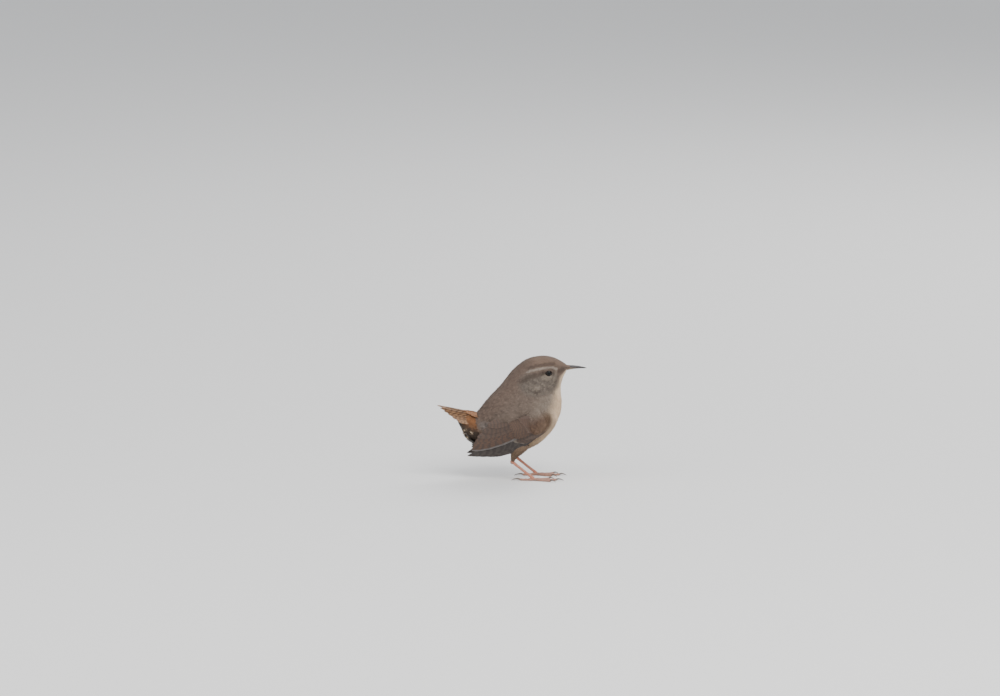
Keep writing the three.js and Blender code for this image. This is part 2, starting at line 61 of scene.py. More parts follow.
print("frame loaded:", len(frame["nodes"]), "nodes")

mm = 0.001

# Places of the bird, in millimetres as the solids were laid out
bird = {
    "eye": (18.9, 56.6),
    "eyeRadius": 2.1,
    "eyeSunk": 1.35,
    "billTip": (39.0, 58.75),
    "billLength": 13.2,
    "mouth": (24.6, 57.4),
    "mouthRise": 0.055,
    "wrist": (19.2, 30.2),
    "wingTip": (-23.4, 9.9),
}
eyeLow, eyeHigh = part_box("eye_right")
shift = np.array([
    (eyeLow.x + eyeHigh.x) / 2 - bird["eye"][0] * mm,
    0.0,
    (eyeLow.z + eyeHigh.z) / 2 - bird["eye"][1] * mm,
])
sides = {"left": 1, "right": -1}

# Sections of head and body: a point on the back line, one on the belly line, and the half width
bodySections = [
    ((28.3, 60.2), (28.3, 56.5), 1.9),
    ((25.5, 62.0), (26.7, 53.2), 4.4),
    ((20.8, 64.1), (25.5, 48.8), 7.3),
    ((15.1, 64.8), (25.5, 44.7), 8.8),
    ((7.8, 63.2), (26.0, 40.4), 10.6),
    ((0.8, 58.2), (25.5, 34.4), 13.2),
    ((-6.0, 49.9), (22.1, 26.4), 15.2),
    ((-12.7, 42.4), (15.1, 19.0), 14.6),
    ((-17.7, 36.1), (4.7, 14.2), 11.4),
    ((-21.0, 31.9), (-6.2, 13.6), 7.6),
    ((-22.6, 28.4), (-15.1, 18.6), 3.6),
]
cushionSections = [
    ((-14, 32.2), (-13, 17.3), 7.0),
    ((-19.5, 34.2), (-19.0, 18.1), 6.2),
    ((-23.5, 34.9), (-23.3, 21.0), 5.0),
    ((-26.2, 35.0), (-25.2, 25.6), 3.6),
    ((-27.6, 34.2), (-27.2, 30.2), 1.8),
]


def mix(a, b, t):
    return a + (b - a) * t


def ramp(x, low, high):
    t = np.clip((np.asarray(x, float) - low) / (high - low), 0, 1)
    return t * t * (3 - 2 * t)


def curveAt(points, share):  # a centripetal curve through the points, read at a share from 0 to 1
    points = np.asarray(points, float).reshape(len(points), -1)
    place = min(max(share, 0), 1) * (len(points) - 1)
    i = min(int(place), len(points) - 2)
    t = place - i
    b, c = points[i], points[i + 1]
    a = points[i - 1] if i > 0 else 2 * b - c
    d = points[i + 2] if i + 2 < len(points) else 2 * c - b
    gaps = [max(float(np.sum((q - p) ** 2)) ** 0.25, 1e-4) for p, q in ((a, b), (b, c), (c, d))]
    g0, g1, g2 = gaps
    slopeB = ((b - a) / g0 - (c - a) / (g0 + g1) + (c - b) / g1) * g1
    slopeC = ((c - b) / g1 - (d - b) / (g1 + g2) + (d - c) / g2) * g1
    return (
        b + slopeB * t
        + (-3 * b + 3 * c - 2 * slopeB - slopeC) * t * t
        + (2 * b - 2 * c + slopeB + slopeC) * t ** 3
    )


def profile(pairs):  # a smooth run of values over [share, value] pairs, for arrays of shares
    shares = np.array([p[0] for p in pairs], float)
    fine = np.linspace(shares[0], shares[-1], 160)
    values = []
    for s in fine:
        i = min(int(np.searchsorted(shares, s, side="right")) - 1, len(shares) - 2)
        part = (s - shares[i]) / (shares[i + 1] - shares[i])
        values.append(curveAt([[p[1]] for p in pairs], (i + part) / (len(shares) - 1))[0])
    return lambda share: np.interp(share, fine, values)


def circleAngles(around):
    return np.arange(around) * 2 * math.pi / around


def sectionAt(sections, share):
    back = curveAt([(b[0], h, b[1]) for b, _, h in sections], share)
    belly = curveAt([(v[0], h, v[1]) for _, v, h in sections], share)
    half = back[1]
    back = np.array([back[0], 0, back[2]])
    belly = np.array([belly[0], 0, belly[2]])
    up = back - belly
    reach = np.linalg.norm(up) / 2
    return (back + belly) / 2, up / (2 * reach), reach, half


fineShares = np.linspace(0, 1, 500)
fineSections = [sectionAt(bodySections, share) for share in fineShares]
fineCentres = np.array([centre for centre, _, _, _ in fineSections])
fineUps = np.array([up for _, up, _, _ in fineSections])
fineReaches = np.array([reach for _, _, reach, _ in fineSections])
fineHalves = np.array([half for _, _, _, half in fineSections])


def bodyPlace(x, z):
    # Share along the body, height on its ring from -1 to 1, and half width, for points of the side view
    x, z = np.atleast_1d(np.asarray(x, float)), np.atleast_1d(np.asarray(z, float))
    dx, dz = x[:, None] - fineCentres[:, 0], z[:, None] - fineCentres[:, 2]
    index = np.argmin(np.abs(fineUps[:, 2] * dx - fineUps[:, 0] * dz), axis=1)
    dx, dz = x - fineCentres[index, 0], z - fineCentres[index, 2]
    fromCentre = dx * fineUps[index, 0] + dz * fineUps[index, 2]
    height = np.clip(fromCentre / fineReaches[index], -1, 1)
    return fineShares[index], height, fineHalves[index] * np.sqrt(1 - height * height)


def bodySide(x, z):  # half width of the body at one point of the side view
    return float(bodyPlace(x, z)[2][0])


# Folded wing: u runs from the wrist to the tip, v towards the back
wingSpan = math.dist(bird["wrist"], bird["wingTip"])
wingAlong = (
    (bird["wingTip"][0] - bird["wrist"][0]) / wingSpan,
    (bird["wingTip"][1] - bird["wrist"][1]) / wingSpan,
)
wingSpread = profile([
    (0, 13.4), (0.09, 15.0), (0.18, 15.8), (0.33, 15.8), (0.5, 14.2), (0.67, 11.3), (0.83, 7.9), (1, 4.8),
])


def wingPoint(side, u, v, h):
    x = bird["wrist"][0] + wingAlong[0] * u + wingAlong[1] * v
    z = bird["wrist"][1] + wingAlong[1] * u - wingAlong[0] * v
    share = np.clip(u / wingSpan, 0, 1)
    fall = np.where(v < 6, 0.036 * (1 - 0.6 * share), 0.012)
    return np.array([x, side * (wingSpread(share) - fall * (v - 6) ** 2 + h), z])


def toWing(x, z):  # the side view's point as u and v of the folded wing
    dx, dz = x - bird["wrist"][0], z - bird["wrist"][1]
    return dx * wingAlong[0] + dz * wingAlong[1], dx * wingAlong[1] - dz * wingAlong[0]


# Small builders of meshes and node trees

def place(points):  # from layout millimetres to the frame's metres
    return np.asarray(points, float) * mm + shift


def newMesh(name, points, faces, smooth=True):
    mesh = bpy.data.meshes.new(name)
    mesh.from_pydata([tuple(p) for p in points], [], [tuple(f) for f in faces])
    mesh.update()
    if smooth:
        mesh.shade_smooth()
    return mesh


def newObject(name, mesh, material=None):
    piece = bpy.data.objects.new(name, mesh)
    bpy.context.scene.collection.objects.link(piece)
    if material:
        mesh.materials.clear()
        mesh.materials.append(material)
    return piece


def storeValues(mesh, name, values, kind="FLOAT"):
    values = np.asarray(values, np.float32)
    layer = mesh.attributes.new(name, kind, "POINT")
    layer.data.foreach_set("value" if kind == "FLOAT" else "vector", values.ravel())


def storeUv(mesh, name, uvOfLoop):
    layer = mesh.uv_layers.new(name=name)
    layer.data.foreach_set("uv", np.asarray(uvOfLoop, np.float32).ravel())


def loftFaces(rings, around):  # faces of closed rings laid one after the other
    faces = []
    for r in range(rings - 1):
        for k in range(around):
            a = r * around + k
            b = r * around + (k + 1) % around
            faces.append((a, a + around, b + around, b))
    return faces


class Tree:
    # Adds nodes to a tree and links them by name.

    def __init__(self, tree):
        self.tree = tree

    def add(self, kind, settings=None, **inputs):
        node = self.tree.nodes.new(kind)
        for key, value in (settings or {}).items():
            setattr(node, key, value)
        for key, value in inputs.items():
            self.feed(node, key, value)
        return node

    def feed(self, node, key, value):
        socket = node.inputs[int(key[1:])] if key[0] == "i" and key[1:].isdigit() else node.inputs[key]
        if isinstance(value, bpy.types.NodeSocket):
            self.tree.links.new(value, socket)
        elif isinstance(value, bpy.types.Node):
            self.tree.links.new(value.outputs[0], socket)
        else:
            socket.default_value = value

    def math(self, operation, a, b=0.0, c=None):
        node = self.add("ShaderNodeMath", {"operation": operation}, i0=a, i1=b)
        if c is not None:
            self.feed(node, "i2", c)
        return node.outputs[0]

    def vector(self, operation, a, b=(0, 0, 0)):
        return self.add("ShaderNodeVectorMath", {"operation": operation}, i0=a, i1=b).outputs[0]

    def scaled(self, a, factor):
        node = self.add("ShaderNodeVectorMath", {"operation": "SCALE"}, i0=a)
        self.feed(node, "Scale", factor)
        return node.outputs[0]

    def remap(self, value, low, high, start=0.0, end=1.0, kind="SMOOTHSTEP"):
        given = {"i0": value, "i1": low, "i2": high, "i3": start, "i4": end}
        return self.add("ShaderNodeMapRange", {"interpolation_type": kind}, **given).outputs[0]

    def mixed(self, factor, first, second):
        return self.add("ShaderNodeMix", {"data_type": "RGBA"}, i0=factor, i6=first, i7=second).outputs[2]

    def bump(self, height, strength, distance):
        return self.add("ShaderNodeBump", None, Strength=strength, Distance=distance, Height=height)

    def objectPlace(self):
        return self.add("ShaderNodeTexCoord").outputs["Object"]

    def named(self, name, kind="FLOAT"):
        return self.add("GeometryNodeInputNamedAttribute", {"data_type": kind}, Name=name).outputs[0]

    def stored(self, geometry, name, kind, domain, value):
        node = self.add("GeometryNodeStoreNamedAttribute", {"data_type": kind, "domain": domain}, Name=name)
        self.feed(node, "Geometry", geometry)
        self.feed(node, "Value", value)
        return node.outputs[0]


def geometryTree(name, inputs):  # inputs: (name, socket type, default)
    tree = bpy.data.node_groups.new(name, "GeometryNodeTree")
    tree.interface.new_socket("Geometry", in_out="INPUT", socket_type="NodeSocketGeometry")
    tree.interface.new_socket("Geometry", in_out="OUTPUT", socket_type="NodeSocketGeometry")
    for label, kind, default in inputs:
        socket = tree.interface.new_socket(label, in_out="INPUT", socket_type=kind)
        if default is not None:
            socket.default_value = default
    return tree, Tree(tree)


def growOn(name, source, tree, values):
    # Runs a geometry tree over a source mesh and returns the plain mesh that it makes.
    carrier = newObject(name + "_source", source)
    modifier = carrier.modifiers.new("grow", "NODES")
    modifier.node_group = tree
    sockets = {item.name: item.identifier for item in tree.interface.items_tree if item.in_out == "INPUT"}
    for label, value in values.items():
        modifier[sockets[label]] = value
    carrier.update_tag()
    graph = bpy.context.evaluated_depsgraph_get()
    mesh = bpy.data.meshes.new_from_object(
        carrier.evaluated_get(graph), preserve_all_data_layers=True, depsgraph=graph
    )
    mesh.name = name
    carrier.modifiers.remove(modifier)
    bpy.data.objects.remove(carrier)
    return mesh


def trianglesOf(mesh):
    return sum(len(p.vertices) - 2 for p in mesh.polygons)


# Shared shader groups

def shaderGroup(name, inputs, outputs):
    tree = bpy.data.node_groups.new(name, "ShaderNodeTree")
    for label, kind, default in inputs:
        socket = tree.interface.new_socket(label, in_out="INPUT", socket_type="NodeSocket" + kind)
        if default is not None:
            socket.default_value = default
    for label, kind in outputs:
        tree.interface.new_socket(label, in_out="OUTPUT", socket_type="NodeSocket" + kind)
    t = Tree(tree)
    return tree, t, t.add("NodeGroupInput").outputs, t.add("NodeGroupOutput")


def featherToneGroup():
    # Colour and height of one feather: its own shade, pale or dark tip, cross bars, shaft and barbs.
    tree, t, given, out = shaderGroup(
        "featherTone",
        [
            ("Tint", "Color", (0.2, 0.14, 0.1, 1)),
            ("Bar Tint", "Color", (0.05, 0.035, 0.03, 1)),
            ("Along", "Float", 0.5),
            ("Across", "Float", 0.0),
            ("Random", "Float", 0.5),
            ("Barring", "Float", 0.0),
            ("Bars", "Float", 6.0),
            ("Tip Light", "Float", 0.1),
            ("Edge Light", "Float", 0.0),
            ("Tip Spot", "Float", 0.0),
            ("Spot Tint", "Color", (0.62, 0.56, 0.46, 1)),
            ("Place", "Vector", None),
            ("Barb Count", "Float", 40.0),
        ],
        [("Color", "Color"), ("Height", "Float")],
    )
    drift = t.add("ShaderNodeTexNoise", None, Vector=given["Place"], Scale=420.0, Detail=3.0)
    wobble = t.math("MULTIPLY_ADD", drift.outputs["Fac"], 1.1, -0.55)
    aside = t.math("ABSOLUTE", given["Across"])
    barPhase = t.math("MULTIPLY_ADD", given["Along"], given["Bars"], given["Random"])
    barPhase = t.math("ADD", barPhase, wobble)
    barPhase = t.math("MULTIPLY_ADD", aside, -0.32, barPhase)
    wave = t.math("SINE", t.math("MULTIPLY", barPhase, 2 * math.pi))
    barAmount = t.math("MULTIPLY", t.remap(wave, -0.15, 0.55), given["Barring"])
    barred = t.mixed(barAmount, given["Tint"], given["Bar Tint"])
    own = t.math("MULTIPLY_ADD", given["Random"], 0.2, 0.9)
    root = t.remap(given["Along"], 0.0, 0.7, 0.82, 1.0, "LINEAR")
    tip = t.math("MULTIPLY", t.math("POWER", given["Along"], 5.0), given["Tip Light"])
    shade = t.math("ADD", t.math("MULTIPLY", own, root), tip)
    grain = t.add("ShaderNodeTexNoise", None, Vector=given["Place"], Scale=2600.0, Detail=2.0)
    shade = t.math("MULTIPLY", shade, t.math("MULTIPLY_ADD", grain.outputs["Fac"], 0.24, 0.88))
    barbPhase = t.math("MULTIPLY_ADD", aside, -0.55, given["Along"])
    barbPhase = t.math("MULTIPLY", barbPhase, given["Barb Count"])
    barbWave = t.math("SINE", t.math("MULTIPLY", barbPhase, 2 * math.pi))
    shade = t.math("MULTIPLY", shade, t.math("MULTIPLY_ADD", barbWave, 0.05, 1.0))
    edge = t.math("MULTIPLY", t.remap(aside, 0.72, 0.98), given["Edge Light"])
    shade = t.math("MULTIPLY_ADD", edge, shade, shade)
    spotEdge = t.math("ADD", given["Along"], t.math("MULTIPLY", wobble, 0.05))
    spotAmount = t.math("MULTIPLY", t.remap(spotEdge, 0.86, 0.92), given["Tip Spot"])
    t.feed(out, "Color", t.scaled(t.mixed(spotAmount, barred, given["Spot Tint"]), shade))
    shaft = t.remap(aside, 0.0, 0.09, 1.0, 0.0)
    t.feed(out, "Height", t.math("MULTIPLY_ADD", barbWave, 0.25, shaft))
    return tree


def hornGrainGroup():
    # Soft blotches and fine grain for horn and bare skin.
    tree, t, given, out = shaderGroup(
        "hornGrain",
        [("Tint", "Color", (0.2, 0.15, 0.1, 1)), ("Dark", "Color", (0.1, 0.07, 0.05, 1)),
         ("Place", "Vector", None), ("Size", "Float", 500.0), ("Amount", "Float", 0.5)],
        [("Color", "Color"), ("Height", "Float")],
    )
    blotch = t.add("ShaderNodeTexNoise", None, Vector=given["Place"], Scale=given["Size"], Detail=4.0)
    spread = t.remap(blotch.outputs["Fac"], 0.4, 0.65, kind="LINEAR")
    amount = t.math("MULTIPLY", spread, given["Amount"])
    t.feed(out, "Color", t.mixed(amount, given["Tint"], given["Dark"]))
    fineSize = t.math("MULTIPLY", given["Size"], 4.0)
    fine = t.add("ShaderNodeTexVoronoi", None, Vector=given["Place"], Scale=fineSize)
    t.feed(out, "Height", fine.outputs["Distance"])
    return tree


featherTone = featherToneGroup()
hornGrain = hornGrainGroup()


def newMaterial(name):
    material = bpy.data.materials.new(name)
    material.use_nodes = True
    t = Tree(material.node_tree)
    return material, t, material.node_tree.nodes["Principled BSDF"]


def useGroup(t, group, **inputs):
    return t.add("ShaderNodeGroup", {"node_tree": group}, **inputs)


def namedValue(t, name, output="Fac"):
    return t.add("ShaderNodeAttribute", {"attribute_name": name}).outputs[output]


def feedNamed(t, group, inputs):  # inputs: the group's sockets and the attributes that feed them
    for socket, name in inputs.items():
        t.feed(group, socket, namedValue(t, name, "Vector" if name in ("tint", "barTint") else "Fac"))


def coatMaterial(name, flat=False):
    # Plumage that takes its tint and barring from where each feather is rooted.
    material, t, shader = newMaterial(name)
    tone = useGroup(t, featherTone)
    feedNamed(t, tone, {"Tint": "tint", "Bar Tint": "barTint", "Barring": "barring"})
    if flat:
        t.feed(tone, "Along", 0.45)
        t.feed(tone, "Place", t.objectPlace())
    else:
        web = t.add("ShaderNodeSeparateXYZ", None, i0=namedValue(t, "featherUv", "Vector"))
        t.feed(tone, "Along", web.outputs[0])
        t.feed(tone, "Across", web.outputs[1])
        t.feed(tone, "Random", namedValue(t, "featherRandom"))
        t.feed(tone, "Place", namedValue(t, "rootPlace", "Vector"))
        t.feed(tone, "Bars", 1.3)
        t.feed(tone, "Barb Count", 14.0)
    t.feed(shader, "Base Color", tone.outputs["Color"])
    t.feed(shader, "Normal", t.bump(tone.outputs["Height"], 0.2, 0.00005))
    shader.inputs["Roughness"].default_value = 0.78
    shader.inputs["Sheen Weight"].default_value = 0.05
    shader.inputs["Sheen Roughness"].default_value = 0.5
    shader.inputs["Specular IOR Level"].default_value = 0.25
    return material


def vaneMaterial(name, bars, barbs, roughness):
    # Firm flight feathers with a shaft, fine barbs and bars across them.
    material, t, shader = newMaterial(name)
    tone = useGroup(t, featherTone)
    feedNamed(t, tone, {"Tint": "tint", "Bar Tint": "barTint", "Barring": "barring", "Along": "along",
                        "Across": "across", "Random": "featherRandom", "Edge Light": "edgeLight",
                        "Tip Spot": "tipSpot"})
    t.feed(tone, "Place", t.objectPlace())
    t.feed(tone, "Bars", bars)
    t.feed(tone, "Barb Count", barbs)
    t.feed(tone, "Tip Light", 0.0)
    t.feed(shader, "Base Color", tone.outputs["Color"])
    t.feed(shader, "Normal", t.bump(tone.outputs["Height"], 0.5, 0.00006))
    shader.inputs["Roughness"].default_value = roughness
    shader.inputs["Specular IOR Level"].default_value = 0.35
    return material


# Colours of the plumage
plumage = {
    "crown": (0.185, 0.124, 0.090),
    "back": (0.130, 0.090, 0.069),
    "side": (0.136, 0.100, 0.078),
    "neckGrey": (0.215, 0.172, 0.135),
    "breast": (0.640, 0.465, 0.305),
    "throat": (0.700, 0.530, 0.360),
    "belly": (0.262, 0.181, 0.112),
    # the vent's own dark brown, deepened by painted shade under the body
    "vent": (0.048, 0.033, 0.023),
    "rump": (0.185, 0.098, 0.052),
    "rufous": (0.225, 0.094, 0.036),
    "brow": (0.400, 0.340, 0.275),
    "stripe": (0.062, 0.043, 0.032),
    "cheek": (0.118, 0.095, 0.077),
    "cheekPale": (0.290, 0.236, 0.182),
    "greyPatch": (0.165, 0.152, 0.146),
    "thigh": (0.150, 0.098, 0.064),
    "covert": (0.098, 0.053, 0.033),
    "barDark": (0.050, 0.034, 0.025),
}


def nearLine(x, z, line, width):  # 1 on a line of the side view, falling to 0 a width away
    best = np.full(np.shape(x), 1e9)
    for (x0, z0), (x1, z1) in zip(line, line[1:]):
        dx, dz = x1 - x0, z1 - z0
        t = np.clip(((x - x0) * dx + (z - z0) * dz) / (dx * dx + dz * dz), 0, 1)
        best = np.minimum(best, np.hypot(x - x0 - t * dx, z - z0 - t * dz))
    return 1 - ramp(best, width * 0.45, width)


cheek = {"line": [(20, 52.5), (13, 51), (10, 52.5)], "width": 6.5,
         "streakLine": [(20, 53), (12.5, 51.5)], "streakWidth": 5.5, "streakStrength": 0.42}
marks = [  # lines in the side view, from the first that is laid to the last
    {"name": "brow's edge", "colour": "stripe", "width": 0.95, "strength": 0.6, "on": "sides",
     "line": [(22.6, 60.9), (18.9, 61.0), (14.6, 60.6), (10.4, 59.7)]},
    {"name": "eye stripe", "colour": "stripe", "width": 1.5, "strength": 0.72, "on": "sides",
     "line": [(17.2, 56.8), (13.4, 56.5), (9.4, 55.4), (6.4, 53.8)]},
    {"name": "brow", "colour": "brow", "width": 0.64, "strength": 0.55, "on": "sides",
     "line": [(23.8, 58.6), (21.6, 59.4), (18.9, 59.5), (15.2, 59.1), (11.6, 58.7), (9.4, 58.1)]},
    {"name": "pale lore", "colour": "cheekPale", "width": 0.75, "strength": 0.35, "on": "sides",
     "line": [(23.6, 58.0), (23.1, 55.6), (22.4, 53.6)]},
    {"name": "dark lore", "colour": "stripe", "width": 1.2, "strength": 0.6, "on": "face",
     "line": [(26.6, 58.2), (24.9, 57.4)]},
    {"name": "under the eye", "colour": "cheekPale", "width": 0.7, "strength": 0.45, "on": "sides",
     "line": [(20.9, 54.5), (18.8, 53.9), (16.7, 54.3)]},
    {"name": "pale ear", "colour": "cheekPale", "width": 0.9, "strength": 0.45, "on": "sides",
     "line": [(14.6, 50.6), (13.2, 50.7)]},
    {"name": "dark ear", "colour": "stripe", "width": 1.0, "strength": 0.6, "on": "sides",
     "line": [(14.9, 48.6), (13.0, 48.8)]},
    {"name": "moustache", "colour": "stripe", "width": 0.7, "strength": 0.2, "on": "sides",
     "line": [(24.6, 54.9), (22.6, 51.2), (21.2, 48.0)]},
    {"name": "grey over the wing", "colour": "greyPatch", "width": 3.4, "strength": 0.35, "on": "all",
     "line": [(-12.6, 30.6), (-7.8, 28.0)]},
]
ripples = {"bodyLength": 78.0, "length": 1.9, "depth": 0.42}
barShade = 0.45  # how light a feather's bars are against its own tint


def paintPlumage(x, y, z, share, topness):
    # Tint, bar tint and barring for points of the body. topness runs from 1 on the back to -1 below.
    count = len(x)
    tint = np.tile(np.array(plumage["back"]), (count, 1))

    def lay(colour, mask):
        nonlocal tint
        mask = np.clip(mask, 0, 1)[:, None]
        tint = tint * (1 - mask) + np.array(plumage[colour]) * mask

    lay("crown", ramp(topness, 0.3, 0.75) * (1 - ramp(share, 0.30, 0.42)))
    lay("side", (1 - ramp(np.abs(topness - 0.05), 0.25, 0.8)) * ramp(share, 0.25, 0.45))
    lay("neckGrey", (1 - ramp(topness, -0.5, 0.15)) * ramp(share, 0.12, 0.3) * (1 - ramp(share, 0.5, 0.7)))
    lay("breast", (1 - ramp(topness, -0.9, -0.42)) * ramp(share, 0.22, 0.34))
    lay("throat", (1 - ramp(topness, -0.72, -0.28)) * (1 - ramp(share, 0.24, 0.4)))
    lay("belly", (1 - ramp(topness, -0.75, -0.25)) * ramp(share, 0.6, 0.72))
    # Dark under the rear between the legs: the vent's colour and painted shade
    lay("vent", (1 - ramp(topness, -0.6, 0.0)) * ramp(share, 0.84, 0.93))
    lay("rump", ramp(topness, -0.1, 0.5) * ramp(share, 0.8, 0.95))
    face = 1 - ramp(share, 0.30, 0.40)
    onSide = ramp(np.abs(y), 1.5, 3.5) * (1 - ramp(share, 0.52, 0.62))
    lay("cheek", nearLine(x, z, cheek["line"], cheek["width"]) * onSide)
    cheeks = nearLine(x, z, cheek["streakLine"], cheek["streakWidth"]) * onSide
    wander = 0.9 * np.sin(x * 1.3 + 0.8 * z) + 0.6 * np.sin(z * 2.1 - 0.7 * x)
    streak = np.sin(2.6 * z + 1.3 * x + wander) * (0.6 + 0.4 * np.sin(3.4 * x - 1.9 * z + wander))
    lay("cheekPale", ramp(streak, 0.1, 0.8) * cheeks * cheek["streakStrength"])
    lay("stripe", ramp(-streak, 0.1, 0.8) * cheeks * cheek["streakStrength"])
    areas = {"sides": onSide, "face": face, "all": 1.0}
    for mark in marks:
        near = nearLine(x, z, mark["line"], mark["width"])
        lay(mark["colour"], near * areas[mark["on"]] * mark["strength"])
    # Fine dark ripples across the feathers' lie, strongest towards the rump and flanks
    flow = share * ripples["bodyLength"] + 0.9 * np.sin(y * 0.9 + 1.3 * topness)
    flow = flow + 0.5 * np.sin(x * 0.7 + z * 1.1)
    ripple = ramp(np.sin(2 * math.pi * flow / ripples["length"]), 0.1, 0.9)
    barred = (0.22 + 0.5 * ramp(share, 0.5, 0.85)) * ramp(share, 0.26, 0.42) * ramp(topness, -0.75, -0.3)
    tint = tint * (1 - ripples["depth"] * (ripple * barred)[:, None])
    barring = (0.10 + 0.20 * ramp(share, 0.55, 0.9)) * (1 - 0.9 * face) * ramp(topness, -0.9, -0.4)
    barTint = tint * barShade
    return tint, barTint, barring


# Skin of head, neck and body in one piece
skinPlan = {"rings": 190, "around": 150,
            "depth": [(0, 0.3), (0.14, 0.42), (0.34, 0.75), (0.55, 1.05), (1, 1.05)]}
headForms = [  # centre in the side view, reach, and height along the surface's normal
    {"at": bird["eye"], "reach": 2.7, "rise": -0.55},
    {"at": (18.6, 60.1), "reach": 2.4, "rise": 0.22},
    {"at": (14.0, 51.5), "reach": 5.5, "rise": 0.25},
    {"at": (24.6, 56.4), "reach": 2.0, "rise": -0.18},
]


def surfaceRings(sections, rings, around, depth):
    # Rings of points through the sections, and each point's share and height on its ring.
    shares = np.linspace(0, 1, rings)
    angles = circleAngles(around)
    points = np.zeros((rings, around, 3))
    for i, share in enumerate(shares):
        centre, up, reach, half = sectionAt(sections, share)
        inset = depth(share) if callable(depth) else depth
        wide, tall = max(half - inset, 0.25), max(reach - inset, 0.25)
        points[i] = centre + np.cos(angles)[:, None] * up * tall
        points[i, :, 1] += np.sin(angles) * wide
    return points, np.repeat(shares, around), np.tile(np.cos(angles), rings)


def normalsOf(grid):
    alongGrid = np.gradient(grid, axis=0)
    aroundGrid = np.roll(grid, -1, axis=1) - np.roll(grid, 1, axis=1)
    lie = alongGrid / np.maximum(np.linalg.norm(alongGrid, axis=2, keepdims=True), 1e-9)
    normal = np.cross(aroundGrid, alongGrid)
    normal /= np.maximum(np.linalg.norm(normal, axis=2, keepdims=True), 1e-9)
    outward = np.sum(normal * (grid - grid.mean(axis=1, keepdims=True)), axis=2, keepdims=True)
    return lie, np.where(outward < 0, -normal, normal)


def closedRings(grid):
    # Vertices and faces of a closed body from rings, with a pole at each end.
    rings, around = grid.shape[:2]
    points = list(grid.reshape(-1, 3)) + [grid[0].mean(axis=0), grid[-1].mean(axis=0)]
    faces = loftFaces(rings, around)
    first, last = rings * around, rings * around + 1
    for k in range(around):
        n = (k + 1) % around
        faces.append((first, k, n))
        faces.append((last, (rings - 1) * around + n, (rings - 1) * around + k))
    return np.array(points), faces


def ringUv(rings, around, left, bottom, width, height):
    # Corner UVs for closedRings, laid out as a flat unwrap in one part of the map.
    uv = []
    for r in range(rings - 1):
        for k in range(around):
            for rr, kk in ((r, k), (r + 1, k), (r + 1, k + 1), (r, k + 1)):
                uv.append((left + width * kk / around, bottom + height * rr / (rings - 1)))
    for k in range(around):
        uv += [(left + width * (k + 0.5) / around, bottom), (left + width * k / around, bottom),
               (left + width * (k + 1) / around, bottom)]
        top = bottom + height
        uv += [(left + width * (k + 0.5) / around, top), (left + width * (k + 1) / around, top),
               (left + width * k / around, top)]
    return uv


def isInsideOut(points, faces):  # whether a closed body's faces point inwards
    p = np.asarray(points)
    volume = 0.0
    for f in faces:
        for i in range(1, len(f) - 1):
            volume += float(np.dot(p[f[0]], np.cross(p[f[i]], p[f[i + 1]])))
    return volume <= 0


def turnedRound(faces):
    return [tuple(reversed(f)) for f in faces]


def turnedOut(points, faces):
    return turnedRound(faces) if isInsideOut(points, faces) else faces


def coatBody(name, grid, shares, uvBox, facts):
    # A closed skin with what the coat over it needs: lie, feather size, lift, tint and cover.
    rings, around = grid.shape[:2]
    points, faces = closedRings(grid)
    uv = np.array(ringUv(rings, around, *uvBox))
    if isInsideOut(points, faces):
        starts = np.cumsum([0] + [len(f) for f in faces])
        uv = np.concatenate([uv[a:b][::-1] for a, b in zip(starts, starts[1:])])
        faces = turnedRound(faces)
    lie = facts["lie"] if "lie" in facts else normalsOf(grid)[0].reshape(-1, 3)
    mesh = newMesh(name, place(points), faces)
    storeUv(mesh, "OFBake", uv)

    def withEnds(values):
        values = np.asarray(values, float)
        return np.concatenate([values, values[:1], values[-1:]])

    storeValues(mesh, "lie", withEnds(lie), "FLOAT_VECTOR")
    storeValues(mesh, "zone", withEnds(shares))
    for label in ("featherLength", "featherWidth", "lift", "cover", "barring"):
        storeValues(mesh, label, withEnds(facts[label]))
    for label in ("tint", "barTint"):
        storeValues(mesh, label, withEnds(facts[label]), "FLOAT_VECTOR")
    return mesh


featherSizes = {
    "length": profile([(0, 0.8), (0.08, 1.0), (0.2, 1.55), (0.34, 2.3), (0.5, 3.1), (0.65, 3.7), (1, 4.0)]),
    "width": profile([(0, 0.42), (0.08, 0.5), (0.2, 0.72), (0.34, 1.05), (0.5, 1.5), (0.65, 1.8), (1, 1.9)]),
}


